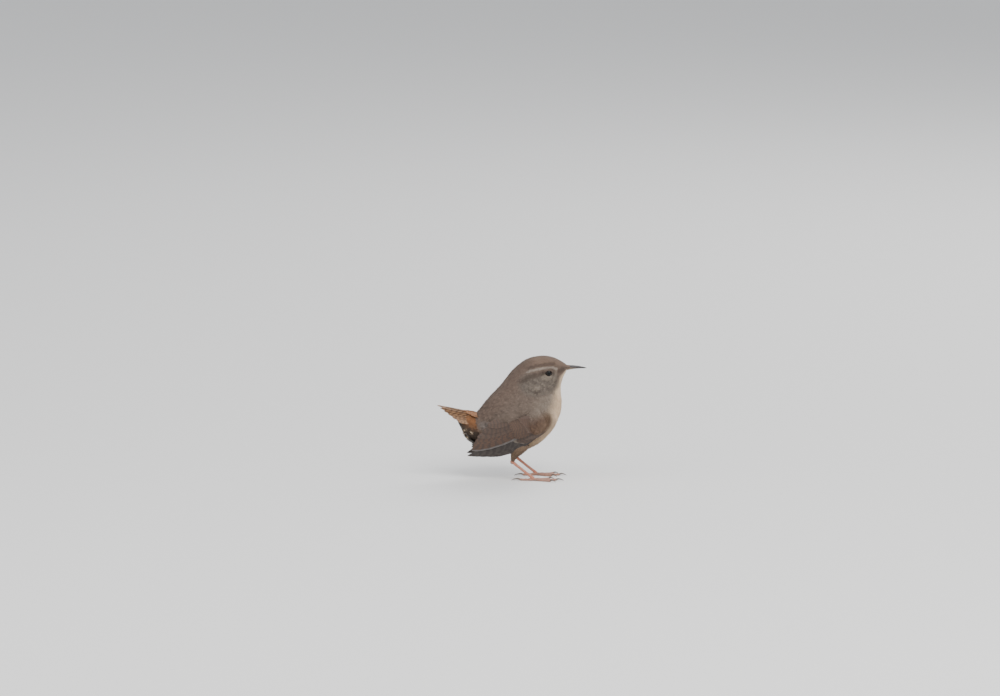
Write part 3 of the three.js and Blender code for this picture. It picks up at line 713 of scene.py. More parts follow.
def bodySkin():
    depth = profile(skinPlan["depth"])
    grid, shares, topness = surfaceRings(bodySections, skinPlan["rings"], skinPlan["around"], depth)
    _, normal = normalsOf(grid)
    for form in headForms:
        away = np.hypot(grid[:, :, 0] - form["at"][0], grid[:, :, 2] - form["at"][1])
        swell = form["rise"] * np.exp(-((away / form["reach"]) ** 2) * 1.6)
        grid = grid + normal * (swell * ramp(np.abs(grid[:, :, 1]), 0.8, 2.5))[:, :, None]
    flat = grid.reshape(-1, 3)
    x, y, z = flat.T
    tint, barTint, barring = paintPlumage(x, y, z, shares, topness)
    u, v = toWing(x, z)
    underWing = ramp(u, 3, 6) * (1 - ramp(u, 31, 35)) * ramp(v, -1.5, 0.5) * (1 - ramp(v, 8.5, 10.5))
    underWing = underWing * ramp(np.abs(y), 4, 7)
    eyeAway = np.hypot(x - bird["eye"][0], z - bird["eye"][1])
    cover = ramp(eyeAway, 2.15, 2.5) * (1 - underWing)
    length = featherSizes["length"](shares)
    width = featherSizes["width"](shares)
    nearEye = 1 - ramp(eyeAway, 2.4, 4.6)
    length = length * (1 - 0.5 * nearEye)
    width = width * (1 - 0.4 * nearEye)
    lift = 0.13 + 0.04 * ramp(shares, 0.4, 0.8) - 0.03 * nearEye
    facts = {
        "featherLength": length * mm, "featherWidth": width * mm, "lift": lift, "cover": cover,
        "barring": barring, "tint": tint, "barTint": barTint,
    }
    return coatBody("skin_body", grid, shares, (0.0, 0.0, 1.0, 0.72), facts)


legPlan = {
    "right": {"side": -1, "knee": (5.6, 20.5), "ankle": (-0.4, 10.3), "foot": (11.3, 1.35)},
    "left": {"side": 1, "knee": (6.6, 20.5), "ankle": (1.4, 10.6), "foot": (12.9, 1.35)},
}
stance = {"hip": 8.2, "ankle": 7.4, "foot": 8.4}
thighPlan = {"rings": 40, "around": 48, "length": (3.0, 1.9), "width": (1.3, 0.55), "lift": 0.16,
             "girth": profile([(0, 4.3), (0.4, 3.1), (0.75, 1.45), (1, 0.55)]),
             "map": {"left": 0.02, "right": 0.14}}
mapRow = (0.76, 0.1, 0.2)  # bottom, width and height of the small skins' places on the bake map


def tubeGrid(path, radius, rings, around):
    # Rings of points round a path, each with its own radius.
    grid = np.zeros((rings, around, 3))
    angles = circleAngles(around)
    for i in range(rings):
        s = i / (rings - 1)
        centre = curveAt(path, s)
        ahead = curveAt(path, min(1, s + 0.01)) - curveAt(path, max(0, s - 0.01))
        ahead /= np.linalg.norm(ahead)
        across = np.cross([0, 0, 1], ahead)
        across /= np.linalg.norm(across)
        up = np.cross(ahead, across)
        r = radius(s)
        grid[i] = centre + r * (np.cos(angles)[:, None] * up + np.sin(angles)[:, None] * across)
    return grid


def thighSkin(name):
    leg = legPlan[name]
    side, knee, ankle = leg["side"], leg["knee"], leg["ankle"]
    path = [
        (knee[0], side * stance["hip"], knee[1]),
        (mix(knee[0], ankle[0], 0.5) - 0.2, side * (stance["hip"] + 0.1), mix(knee[1], ankle[1], 0.48)),
        (ankle[0] + 0.5, side * stance["ankle"], ankle[1] - 0.2),
    ]
    rings, around = thighPlan["rings"], thighPlan["around"]
    grid = tubeGrid(path, thighPlan["girth"], rings, around)
    shares = np.repeat(np.linspace(0, 1, rings), around)
    count = rings * around
    tint = np.tile(np.array(plumage["thigh"]), (count, 1)) * mix(1.15, 0.75, shares)[:, None]
    facts = {
        "featherLength": mix(*thighPlan["length"], shares) * mm,
        "featherWidth": mix(*thighPlan["width"], shares) * mm,
        "lift": np.full(count, thighPlan["lift"]),
        "cover": 1 - ramp(shares, 0.985, 1.0),
        "barring": np.full(count, 0.3),
        "tint": tint,
        "barTint": tint * barShade,
    }
    return coatBody("skin_thigh_" + name, grid, shares, (thighPlan["map"][name], *mapRow), facts)


cushionPlan = {"rings": 60, "around": 64, "depth": 0.8, "length": 3.2, "width": 1.5, "lift": 0.14,
               "map": (0.28, 0.76, 0.2, 0.2)}
undertailSpots = {"at": [(-24.4, 28.6), (-21.8, 25.2), (-23.2, 22.4), (-20.4, 21.2), (-18.6, 24.0)],
                  "inner": 0.35, "outer": 0.85, "strength": 0.85}


def cushionSkin():
    plan = cushionPlan
    grid, shares, topness = surfaceRings(cushionSections, plan["rings"], plan["around"], plan["depth"])
    x, y, z = grid.reshape(-1, 3).T
    count = len(x)
    under = 1 - ramp(topness, -0.2, 0.5)
    rufous = np.array(plumage["rufous"])
    # The cushion's underside takes the dark vent colour together with its painted shade
    tint = np.outer(under, plumage["vent"]) + np.outer(1 - under, rufous)
    for spotX, spotZ in undertailSpots["at"]:
        spot = 1 - ramp(np.hypot(x - spotX, z - spotZ), undertailSpots["inner"], undertailSpots["outer"])
        amount = undertailSpots["strength"] * spot * ramp(np.abs(y), 1.0, 2.0)
        tint = tint + (np.array(plumage["throat"]) - tint) * amount[:, None]
    facts = {
        "featherLength": np.full(count, plan["length"] * mm),
        "featherWidth": np.full(count, plan["width"] * mm),
        "lift": np.full(count, plan["lift"]), "cover": ramp(shares, 0.02, 0.1),
        "barring": 0.25 + 0.35 * under,
        "tint": tint, "barTint": np.tile(np.array(plumage["barDark"]), (count, 1)),
    }
    return coatBody("skin_cushion", grid, shares, plan["map"], facts)


pads = {  # middle and reach as u and v of the wing; hold is where the rise ends towards front and back
    "shoulder": {"middle": (4.2, 4.4), "reach": (10.2, 9.6), "hold": (0.58, 0.30), "proud": 0.8,
                 "sunk": 0.9, "length": (1.9, 2.7), "width": (1.0, 1.4),
                 "map": {"left": 0.50, "right": 0.62}},
    "scapular": {"middle": (13.5, 12.8), "reach": (14.0, 4.6), "hold": (0.30, 0.25), "proud": 0.9,
                 "sunk": 0.9, "length": (2.6, 3.4), "width": (1.3, 1.7),
                 "map": {"left": 0.74, "right": 0.86}},
}


def padSurface(plan, side, u, v):
    # The pad's point over a place of the wing, with its place on the body and how far it has risen
    du, dv = (u - plan["middle"][0]) / plan["reach"][0], (v - plan["middle"][1]) / plan["reach"][1]
    r = np.hypot(du, dv)
    towardsBack = ramp((du + dv) / np.maximum(r, 1e-6), -0.6, 0.8)
    rise = 1 - ramp(r, mix(plan["hold"][0], plan["hold"][1], towardsBack), 1.0)
    wing = wingPoint(side, u, v, 0.0)
    share, height, half = bodyPlace(wing[0], wing[2])
    proud = np.maximum(np.abs(wing[1]) + plan["proud"], half - 0.2)
    points = np.stack([wing[0], side * mix(half - plan["sunk"], proud, rise), wing[2]], axis=1)
    return points, share, height, rise


def padSkin(kind, sideName):
    # A low pad that blends the wing's bend or its upper edge into the body
    plan, side = pads[kind], sides[sideName]
    top, under, around = 26, 8, 72
    reaches = np.concatenate([np.linspace(0.03, 1, top), np.linspace(1, 0.03, under)])
    isTop = np.repeat(np.arange(top + under) < top, around)
    r = np.repeat(reaches, around)
    angle = np.tile(circleAngles(around), top + under)
    u = plan["middle"][0] + plan["reach"][0] * r * np.cos(angle)
    v = plan["middle"][1] + plan["reach"][1] * r * np.sin(angle)
    points, share, height, rise = padSurface(plan, side, u, v)
    lie = padSurface(plan, side, u + 0.3, v)[0] - padSurface(plan, side, u - 0.3, v)[0]
    lie /= np.linalg.norm(lie, axis=1)[:, None]
    points[~isTop, 1] -= side * 1.6
    grid = points.reshape(top + under, around, 3)
    tint, barTint, barring = paintPlumage(points[:, 0], points[:, 1], points[:, 2], share, height)
    if kind == "shoulder":
        amount = (1 - ramp(v, 3.0, 9.5)) * ramp(rise, 0.35, 0.95) * 0.85
        ripple = ramp(np.sin(2 * math.pi * (u + 0.5 * np.sin(v * 1.7)) / 1.7), 0.0, 0.9)
        covert = np.array(plumage["covert"]) * (1 - 0.35 * ripple)[:, None]
        tint = tint + (covert - tint) * amount[:, None]
    lengthways = np.clip((u - plan["middle"][0]) / plan["reach"][0] * 0.5 + 0.5, 0, 1)
    facts = {
        "featherLength": mix(*plan["length"], lengthways) * mm,
        "featherWidth": mix(*plan["width"], lengthways) * mm,
        "lift": np.full(len(u), 0.12), "cover": isTop.astype(float), "barring": barring,
        "tint": tint, "barTint": tint * barShade, "lie": lie,
    }
    shares = np.repeat(np.linspace(0, 1, top + under), around)
    return coatBody(f"skin_{kind}_{sideName}", grid, shares, (plan["map"][sideName], *mapRow), facts)


# Small feathers that the coats repeat, each a fan of loose barbs
featherDome = {"along": 0.10, "across": 0.16, "ridge": 0.022}


def domeHeight(x, y):
    return featherDome["along"] * math.sin(min(x, 1.0) * 2.3) - featherDome["across"] * y * y - 0.03


def thinMesh(name, points, top, bottom):
    # A closed thin form whose rim stays crisp, so that each face shades as a flat feather does
    if isInsideOut(points, top + bottom):
        top, bottom = turnedRound(top), turnedRound(bottom)
    mesh = newMesh(name, points, top + bottom)
    storeUv(mesh, "featherUv", [(points[v][0], points[v][1] * 2) for f in top + bottom for v in f])

    def pairs(faces):
        return {frozenset((f[i], f[(i + 1) % len(f)])) for f in faces for i in range(len(f))}

    rim = pairs(top) & pairs(bottom)
    crisp = mesh.attributes.new("sharp_edge", "BOOLEAN", "EDGE")
    crisp.data.foreach_set("value", [frozenset(e.vertices) in rim for e in mesh.edges])
    return mesh


def sprayMesh(name, barbs, seed):
    draw = random.Random(seed)
    points, top, bottom = [], [], []
    for i in range(barbs):
        t = mix(-1.0, 1.0, i / (barbs - 1))
        start = np.array((0.04 + 0.22 * (1 - abs(t)), 0.07 * t))
        end = np.array((1.0 - 0.40 * t * t + draw.uniform(-0.09, 0.09), 0.5 * t + draw.uniform(-0.05, 0.05)))
        middle = mix(start, end, 0.55) + np.array((0.0, 0.09 * t))
        ahead = (end - start) / np.linalg.norm(end - start)
        aside = np.array((-ahead[1], ahead[0])) * 0.62 / barbs
        raised = draw.uniform(-0.015, 0.03)
        base = len(points)
        for x, y in (start - aside * 0.8, start + aside * 0.8, middle + aside, end, middle - aside):
            points.append((x, y, domeHeight(x, y) + raised * x))
        points.append((*middle, domeHeight(*middle) + raised * middle[0] + featherDome["ridge"]))
        top += [(base + k, base + (k + 1) % 5, base + 5) for k in range(5)]
        bottom += [(base + 4, base + 2, base + 1, base), (base + 4, base + 3, base + 2)]
    return thinMesh(name, points, top, bottom)


def featherSet(name, meshes):
    collection = bpy.data.collections.new(name)
    for mesh in meshes:
        collection.objects.link(bpy.data.objects.new(mesh.name, mesh))
    return collection


def featherCoatTree():
    # Scatters feathers over a skin along its lie, and lays each on the bake map at its root.
    tree, t = geometryTree("featherCoat", [
        ("Zone Start", "NodeSocketFloat", 0.0),
        ("Zone End", "NodeSocketFloat", 1.0),
        ("Spacing", "NodeSocketFloat", 0.0006),
        ("Stray", "NodeSocketFloat", 0.2),
        ("Seed", "NodeSocketInt", 3),
        ("Feathers", "NodeSocketCollection", None),
        ("Last Kind", "NodeSocketInt", 2),
        ("Finish", "NodeSocketMaterial", None),
    ])
    given = t.add("NodeGroupInput").outputs

    def drawn(low, high, offset):
        node = t.add("FunctionNodeRandomValue", {"data_type": "FLOAT"})
        node.inputs[2].default_value = low
        node.inputs[3].default_value = high
        t.feed(node, "Seed", t.math("ADD", given["Seed"], float(offset)))
        return node.outputs[1]

    zone = t.named("zone")
    inside = t.math("MULTIPLY", t.math("GREATER_THAN", zone, given["Zone Start"]),
                    t.math("LESS_THAN", zone, given["Zone End"]))
    density = t.math("DIVIDE", 3.0, t.math("MULTIPLY", given["Spacing"], given["Spacing"]))
    scatter = t.add("GeometryNodeDistributePointsOnFaces", {"distribute_method": "POISSON"})
    t.feed(scatter, "Mesh", given["Geometry"])
    t.feed(scatter, "Distance Min", given["Spacing"])
    t.feed(scatter, "Density Max", density)
    t.feed(scatter, "Density Factor", t.math("MULTIPLY", t.named("cover"), inside))
    t.feed(scatter, "Seed", given["Seed"])
    points = scatter.outputs["Points"]
    where = t.add("GeometryNodeInputPosition").outputs[0]
    points = t.stored(points, "rootPlace", "FLOAT_VECTOR", "POINT", where)
    points = t.stored(points, "rootUv", "FLOAT_VECTOR", "POINT", t.named("OFBake", "FLOAT_VECTOR"))
    points = t.stored(points, "featherRandom", "FLOAT", "POINT", drawn(0.0, 1.0, 11))
    cleaned = t.add("GeometryNodeRemoveAttribute", None, Name="OFBake")
    t.feed(cleaned, "Geometry", points)
    up = scatter.outputs["Normal"]
    ahead = t.vector("ADD", t.named("lie", "FLOAT_VECTOR"), t.scaled(up, t.named("lift")))
    axes = t.add("FunctionNodeAxesToRotation", {"primary_axis": "X", "secondary_axis": "Z"}, i0=ahead, i1=up)
    turn = t.add("ShaderNodeCombineXYZ", None, X=drawn(-0.12, 0.12, 5), Y=drawn(-0.05, 0.04, 7))
    t.feed(turn, "Z", t.math("MULTIPLY", drawn(-1.0, 1.0, 9), given["Stray"]))
    turned = t.add("FunctionNodeRotateRotation", {"rotation_space": "LOCAL"}, i0=axes.outputs[0])
    t.feed(turned, "i1", t.add("FunctionNodeEulerToRotation", None, i0=turn.outputs[0]).outputs[0])
    long = t.math("MULTIPLY", t.named("featherLength"), drawn(0.82, 1.16, 1))
    wide = t.math("MULTIPLY", t.named("featherWidth"), drawn(0.85, 1.15, 2))
    size = t.add("ShaderNodeCombineXYZ", None, X=long, Y=wide, Z=wide)
    kinds = t.add("GeometryNodeCollectionInfo")
    t.feed(kinds, "Collection", given["Feathers"])
    kinds.inputs["Separate Children"].default_value = True
    kinds.inputs["Reset Children"].default_value = True
    pick = t.add("FunctionNodeRandomValue", {"data_type": "INT"})
    pick.inputs[4].default_value = 0
    t.feed(pick, "i5", given["Last Kind"])
    t.feed(pick, "Seed", given["Seed"])
    grown = t.add("GeometryNodeInstanceOnPoints")
    t.feed(grown, "Points", cleaned.outputs[0])
    t.feed(grown, "Instance", kinds.outputs[0])
    grown.inputs["Pick Instance"].default_value = True
    t.feed(grown, "Instance Index", pick.outputs[2])
    t.feed(grown, "Rotation", turned.outputs[0])
    t.feed(grown, "Scale", size.outputs[0])
    real = t.add("GeometryNodeRealizeInstances", None, i0=grown.outputs[0])
    web = t.vector("MULTIPLY", t.vector("SUBTRACT", t.named("featherUv", "FLOAT_VECTOR"), (0.5, 0.0, 0.0)),
                   (0.003, 0.0015, 0.0))  # a patch 0.003 across
    patch = t.vector("ADD", t.named("rootUv", "FLOAT_VECTOR"), web)
    baked = t.stored(real.outputs[0], "OFBake", "FLOAT2", "CORNER", patch)
    finished = t.add("GeometryNodeSetMaterial", None, i0=baked)
    t.feed(finished, "Material", given["Finish"])
    t.add("NodeGroupOutput", None, i0=finished.outputs[0])
    return tree


coatFinish = coatMaterial("softPlumage")
skinFinish = coatMaterial("plumageUnderlay", flat=True)
coatTree = featherCoatTree()
faceFeathers = featherSet("faceFeathers", [sprayMesh(f"faceSpray{i}", 4, 10 + i) for i in range(3)])
headFeathers = featherSet("headFeathers", [sprayMesh(f"headSpray{i}", 6, 20 + i) for i in range(4)])
bodyFeathers = featherSet("bodyFeathers", [sprayMesh(f"bodySpray{i}", 7, 30 + i) for i in range(5)])
print("materials and feather kinds ready")

skinMeshes = {"body": bodySkin(), "cushion": cushionSkin()}
for sideName in sides:
    skinMeshes["thigh_" + sideName] = thighSkin(sideName)
    for kind in pads:
        skinMeshes[f"{kind}_{sideName}"] = padSkin(kind, sideName)
print("skins shaped")


def growCoat(name, skin, kind, zone, spacing, seed, stray=0.2):
    return growOn(name, skin, coatTree, {
        "Zone Start": float(zone[0]), "Zone End": float(zone[1]), "Spacing": spacing * mm, "Seed": seed,
        "Stray": stray, "Feathers": kind, "Last Kind": len(kind.objects) - 1, "Finish": coatFinish,
    })


coats = [  # piece, skin, zone, spacing in mm, feather kind
    {"name": "coat_face", "skin": "body", "zone": (-1, 0.15), "spacing": 0.165, "kind": faceFeathers},
    {"name": "coat_crown", "skin": "body", "zone": (0.15, 0.30), "spacing": 0.27, "kind": headFeathers},
    {"name": "coat_nape", "skin": "body", "zone": (0.30, 0.42), "spacing": 0.34, "kind": headFeathers},
    {"name": "coat_mantle", "skin": "body", "zone": (0.42, 0.54), "spacing": 0.42, "kind": bodyFeathers},
    {"name": "coat_breast", "skin": "body", "zone": (0.54, 0.66), "spacing": 0.47, "kind": bodyFeathers},
    {"name": "coat_back", "skin": "body", "zone": (0.66, 0.79), "spacing": 0.47, "kind": bodyFeathers},
    {"name": "coat_rump", "skin": "body", "zone": (0.79, 0.975), "spacing": 0.44, "kind": bodyFeathers},
    {"name": "coat_cushion", "skin": "cushion", "zone": (-1, 2), "spacing": 0.42, "kind": bodyFeathers},
]
for sideName in sides:
    coats.append({"name": "coat_thigh_" + sideName, "skin": "thigh_" + sideName, "zone": (-1, 2),
                  "spacing": 0.32, "kind": headFeathers})
    for kind, spacing in (("shoulder", 0.36), ("scapular", 0.44)):
        coats.append({"name": f"coat_{kind}_{sideName}", "skin": f"{kind}_{sideName}", "zone": (-1, 2),
                      "spacing": spacing, "kind": bodyFeathers})
pieces = {}
for number, coat in enumerate(coats):
    spacing = coat["spacing"] * 1
    skin = skinMeshes[coat["skin"]].copy()
    mesh = growCoat(coat["name"], skin, coat["kind"], coat["zone"], spacing, seed=20 + number)
    pieces[coat["name"]] = newObject(coat["name"], mesh)
    print(coat["name"], trianglesOf(mesh), "triangles")

for label, mesh in skinMeshes.items():
    pieces["skin_" + label] = newObject("skin_" + label, mesh, skinFinish)

# Riding and replacing
for piece in pieces.values():
    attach(piece, "root")
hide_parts("head", "neck", "torso")
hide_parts("thigh_left")
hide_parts("thigh_right")

# Wing and tail: each feather is a quill with widths along it, and a tree lays a vane over all of them
vanePlan = {"points": 22, "tilt": 0.2, "outline": profile([(0, 0.5), (0.25, 0.86), (0.5, 1.0), (0.72, 0.94),
                                                           (0.89, 0.66), (0.97, 0.34), (1, 0.06)])}
wingTiers = [  # from the deepest layer out; roots and tips are u and v of the first and last feather
    {"name": "primary", "count": 9, "root": ((4, -1.2), (13, 1.5)), "tip": ((33.5, -3.6), (46.0, 2.4)),
     "half": (1.5, 1.8), "lift": (-0.5, -0.15), "bow": -1.6, "tint": (0.034, 0.026, 0.023),
     "barTint": (0.072, 0.058, 0.049), "barring": 0.42, "edge": 0.10, "spot": 0.0},
    {"name": "secondary", "count": 6, "root": ((9, 2.5), (15, 8)), "tip": ((43, 4.0), (38.6, 8.2)),
     "half": (2.0, 2.3), "lift": (0.0, 0.2), "bow": -0.7, "tint": (0.074, 0.041, 0.027),
     "barTint": (0.042, 0.029, 0.023), "barring": 0.70, "edge": 0.15, "spot": 0.0},
    {"name": "tertial", "count": 3, "root": ((13, 7.5), (14, 11)), "tip": ((36.4, 9.6), (29, 13.2)),
     "half": (2.5, 2.5), "lift": (0.3, 0.5), "bow": -0.2, "tint": (0.074, 0.045, 0.032),
     "barTint": (0.046, 0.032, 0.025), "barring": 0.62, "edge": 0.15, "spot": 0.0},
    {"name": "primaryCovert", "count": 6, "root": ((3.5, -1.2), (5.5, 1.2)),
     "tip": ((17.4, -2.6), (20.6, 0.2)), "half": (1.2, 1.3), "lift": (0.05, 0.25), "bow": -0.8,
     "tint": (0.058, 0.036, 0.026), "barTint": (0.036, 0.026, 0.021), "barring": 0.6, "edge": 0.2,
     "spot": 0.12},
    {"name": "greaterCovert", "count": 10, "root": ((5.5, 1.5), (9.5, 9.6)),
     "tip": ((19.4, 1.8), (18.4, 12.2)), "half": (1.35, 1.45), "lift": (0.5, 0.7), "bow": -0.4,
     "tint": (0.079, 0.045, 0.029), "barTint": (0.046, 0.031, 0.025), "barring": 0.58, "edge": 0.12,
     "spot": 0.0},
    {"name": "alula", "count": 3, "root": ((1.8, -1.6), (2.2, -0.4)), "tip": ((10.8, -2.8), (14.6, -1.6)),
     "half": (0.9, 1.1), "lift": (0.35, 0.5), "bow": -0.4, "tint": (0.068, 0.046, 0.035),
     "barTint": (0.045, 0.031, 0.025), "barring": 0.4, "edge": 0.3, "spot": 0.0},
    {"name": "medianCovert", "count": 9, "root": ((2.2, 1.0), (5.4, 7.4)), "tip": ((11.6, 1.8), (12.6, 10.6)),
     "half": (1.25, 1.35), "lift": (0.85, 1.0), "bow": -0.2, "tint": (0.079, 0.045, 0.030),
     "barTint": (0.048, 0.033, 0.026), "barring": 0.5, "edge": 0.12, "spot": 0.03},
]
# The lowest secondary is painted greyer than the rest: a painted highlight along the lower edge of the
# secondaries
paintedEdgeHighlight = {"tint": (0.120, 0.104, 0.097), "barTint": (0.075, 0.062, 0.056), "barring": 0.3}
tailPlan = {"root": (-13, 32.9), "tip": (-39, 38.5), "outerTip": (-28.8, 5.0, 31.5), "pairs": 6, "half": 2.3,
            "tint": (0.255, 0.140, 0.072), "barTint": (0.100, 0.055, 0.032),
            "barring": 0.7, "edge": 0.2, "spot": 0.0}
uppertailLook = {"tint": (0.260, 0.112, 0.044), "barTint": (0.125, 0.056, 0.027),
                 "barring": 0.6, "edge": 0.1, "spot": 0.0}
undertailLook = {"tint": (0.038, 0.027, 0.020), "barTint": (0.022, 0.016, 0.013),
                 "barring": 0.8, "edge": 0.1, "spot": 0.35}
cushionRear = [(-12.6, 0, 17.0), (-18.8, 0, 17.8), (-23.4, 0, 20.8), (-25.3, 0, 25.6), (-27.9, 0, 30.4)]
undertailRows = [
    {"tip": 0.22, "length": 0.26, "count": 5, "spread": 5.0},
    {"tip": 0.36, "length": 0.28, "count": 6, "spread": 4.7},
    {"tip": 0.52, "length": 0.30, "count": 5, "spread": 3.9},
    {"tip": 0.68, "length": 0.32, "count": 4, "spread": 3.2},
    {"tip": 0.85, "length": 0.33, "count": 5, "spread": 2.7},
    {"tip": 1.0, "length": 0.34, "count": 4, "spread": 1.9},
]
uppertailRows = [((-13.5, 2.8, 32.2), (-21.6, 3.4, 34.1)), ((-13.5, 1.9, 32.7), (-23.8, 2.3, 35.0)),
                 ((-13.5, 0.9, 33.1), (-25.8, 1.0, 35.9)), ((-14.5, 1.9, 33.0), (-20.6, 2.0, 34.7))]


def unit(vector):
    vector = np.asarray(vector, float)
    return vector / np.linalg.norm(vector)


def quillFacts(feather, draw):  # what every point of one quill carries besides its place
    return {"tint": feather["tint"], "barTint": feather["barTint"], "barring": feather["barring"],
            "edgeLight": feather["edge"], "tipSpot": feather["spot"], "featherRandom": draw.random()}


def quillThrough(at, half, draw, tilt):
    # at(share, aside) is a point of the surface that the feather lies on
    shares = np.linspace(0, 1, vanePlan["points"])
    places, facings = [], []
    for s in shares:
        lie = unit(at(min(1, s + 0.02), 0.0) - at(max(0, s - 0.02), 0.0))
        across = unit(at(s, 0.5) - at(s, -0.5))
        out = unit(np.cross(lie, across))
        places.append(at(s, 0.0))
        facings.append((out, across))
    uneven = 1 + 0.03 * np.sin(shares * draw.uniform(25, 40) + draw.random() * 6)
    widths = half * vanePlan["outline"](shares) * uneven
    return shares, np.array(places), facings, widths, tilt


def addQuill(quills, quill, outward, facts):
    shares, places, facings, widths, tilt = quill
    rows = quills.setdefault("rows", [])
    index = quills.setdefault("count", 0)
    for s, here, (out, across), width in zip(shares, places, facings, widths):
        out = out if np.dot(out, outward(here)) > 0 else -out
        rows.append({"place": here, "along": s, "halfWidth": width * mm, "facing": unit(out + tilt * across),
                     "slot": float(index), **facts})
    quills["count"] = index + 1


def wingQuills(name):
    side = sides[name]
    draw = random.Random(411 if side > 0 else 97)
    quills = {}
    for tier in wingTiers:
        for i in range(tier["count"]):
            t = i / (tier["count"] - 1)
            root = [mix(a, b, t) for a, b in zip(*tier["root"])]
            tip = [mix(a, b, t) + draw.uniform(-0.35, 0.35) * scale
                   for (a, b), scale in zip(zip(*tier["tip"]), (1, 0.25))]
            length = math.dist(root, tip)
            du, dv = (tip[0] - root[0]) / length, (tip[1] - root[1]) / length
            lift = mix(*tier["lift"], t)

            def at(share, across):
                sway = across + tier["bow"] * math.sin(math.pi * share)
                u = mix(root[0], tip[0], share) - dv * sway
                v = mix(root[1], tip[1], share) + du * sway
                return wingPoint(side, u, v, lift)

            quill = quillThrough(at, mix(*tier["half"], t), draw, vanePlan["tilt"])
            # the lowest secondary takes the grey of the painted edge highlight
            look = {**tier, **paintedEdgeHighlight} if tier["name"] == "secondary" and i == 0 else tier
            addQuill(quills, quill, lambda here: (0, side, 0), quillFacts(look, draw))
    return quills


def straightQuill(quills, root, tip, across, half, draw, outward, facts, tilt=0.04, arch=0.0):
    root, tip, across = np.asarray(root, float), np.asarray(tip, float), unit(across)
    out = unit(np.cross(tip - root, across))
    if np.dot(out, outward(root)) < 0:
        out = -out

    def at(share, aside):
        return mix(root, tip, share) + across * aside + out * arch * math.sin(math.pi * share)

    addQuill(quills, quillThrough(at, half, draw, tilt), outward, facts)


def tailQuills():
    draw = random.Random(35)
    quills = {}
    for side in sides.values():
        def upAndOut(here):
            return (0, side * 0.4, 1)

        for k in range(tailPlan["pairs"]):
            t = k / (tailPlan["pairs"] - 1)
            root = (tailPlan["root"][0], side * (0.3 + 0.3 * k), tailPlan["root"][1] - 0.4 * k)
            outer = tailPlan["outerTip"]
            tip = (mix(tailPlan["tip"][0], outer[0], t ** 1.15), side * mix(0.9, outer[1], t ** 0.8),
                   mix(tailPlan["tip"][1], outer[2], t ** 1.1))
            fold = math.radians(8 + 9 * k)
            facts = quillFacts(tailPlan, draw)
            across = (0, side * math.cos(fold), -math.sin(fold))
            straightQuill(quills, root, tip, across, tailPlan["half"], draw, upAndOut, facts)
        for root, tip in uppertailRows:
            facts = quillFacts(uppertailLook, draw)
            root, tip = (root[0], side * root[1], root[2]), (tip[0], side * tip[1], tip[2])
            across = (0, side * 0.94, -0.34)
            straightQuill(quills, root, tip, across, 1.7, draw, upAndOut, facts, tilt=0.0, arch=0.3)
    for row in undertailRows:
        for i in range(row["count"]):
            t = 2 * i / (row["count"] - 1) - 1
            start = curveAt(cushionRear, max(0, row["tip"] - row["length"]))
            end = curveAt(cushionRear, row["tip"])
            lie = unit(end - start)
            out = np.array([-lie[2], 0, lie[0]])
            out = out if out[2] < 0 else -out
            tuck = 0.9 * t * t
            start = start + out * (-0.25 - tuck) + np.array([0, t * row["spread"] * 1.25, 0])
            end = end + out * (0.55 - tuck) + np.array([0, t * row["spread"], 0])
            across = np.array([0, 1, 0]) - out * 0.45 * t
            facts = quillFacts(undertailLook, draw)
            straightQuill(quills, start, end, across, 1.55, draw, lambda here: out, facts,
                          tilt=0.0, arch=0.25)
    return quills


def quillMesh(name, quills):
    rows = quills["rows"]
    per = vanePlan["points"]
    mesh = bpy.data.meshes.new(name)
    edges = [(i, i + 1) for i in range(len(rows) - 1) if (i + 1) % per]
    mesh.from_pydata([tuple(place(r["place"])) for r in rows], edges, [])
    for label in ("along", "halfWidth", "slot", "barring", "edgeLight", "tipSpot", "featherRandom"):
        storeValues(mesh, label, [r[label] for r in rows])
    for label in ("facing", "tint", "barTint"):
        storeValues(mesh, label, [r[label] for r in rows], "FLOAT_VECTOR")
    return mesh


def vaneSection(name):
    # The closed outline that a vane's cross-section has, for a half width of 1: x stands out, y lies across
    half = [1.0, 0.8, 0.5, 0.2, 0.06, 0.0]
    upper = [(0.02 - 0.10 * y * y + (0.075 if y < 0.05 else 0.03 if y < 0.1 else 0.0), y) for y in half]
    top = upper + [(x, -y) for x, y in reversed(upper[:-1])]
    lower = [(-0.055 - 0.10 * y * y, y) for y in (-0.8, 0.0, 0.8)]
    outline = top + lower
    mesh = bpy.data.meshes.new(name)
    count = len(outline)
    mesh.from_pydata([(x, y, 0) for x, y in outline], [(i, (i + 1) % count) for i in range(count)], [])
    storeValues(mesh, "across", [y for _, y in outline])
    return bpy.data.objects.new(name, mesh)


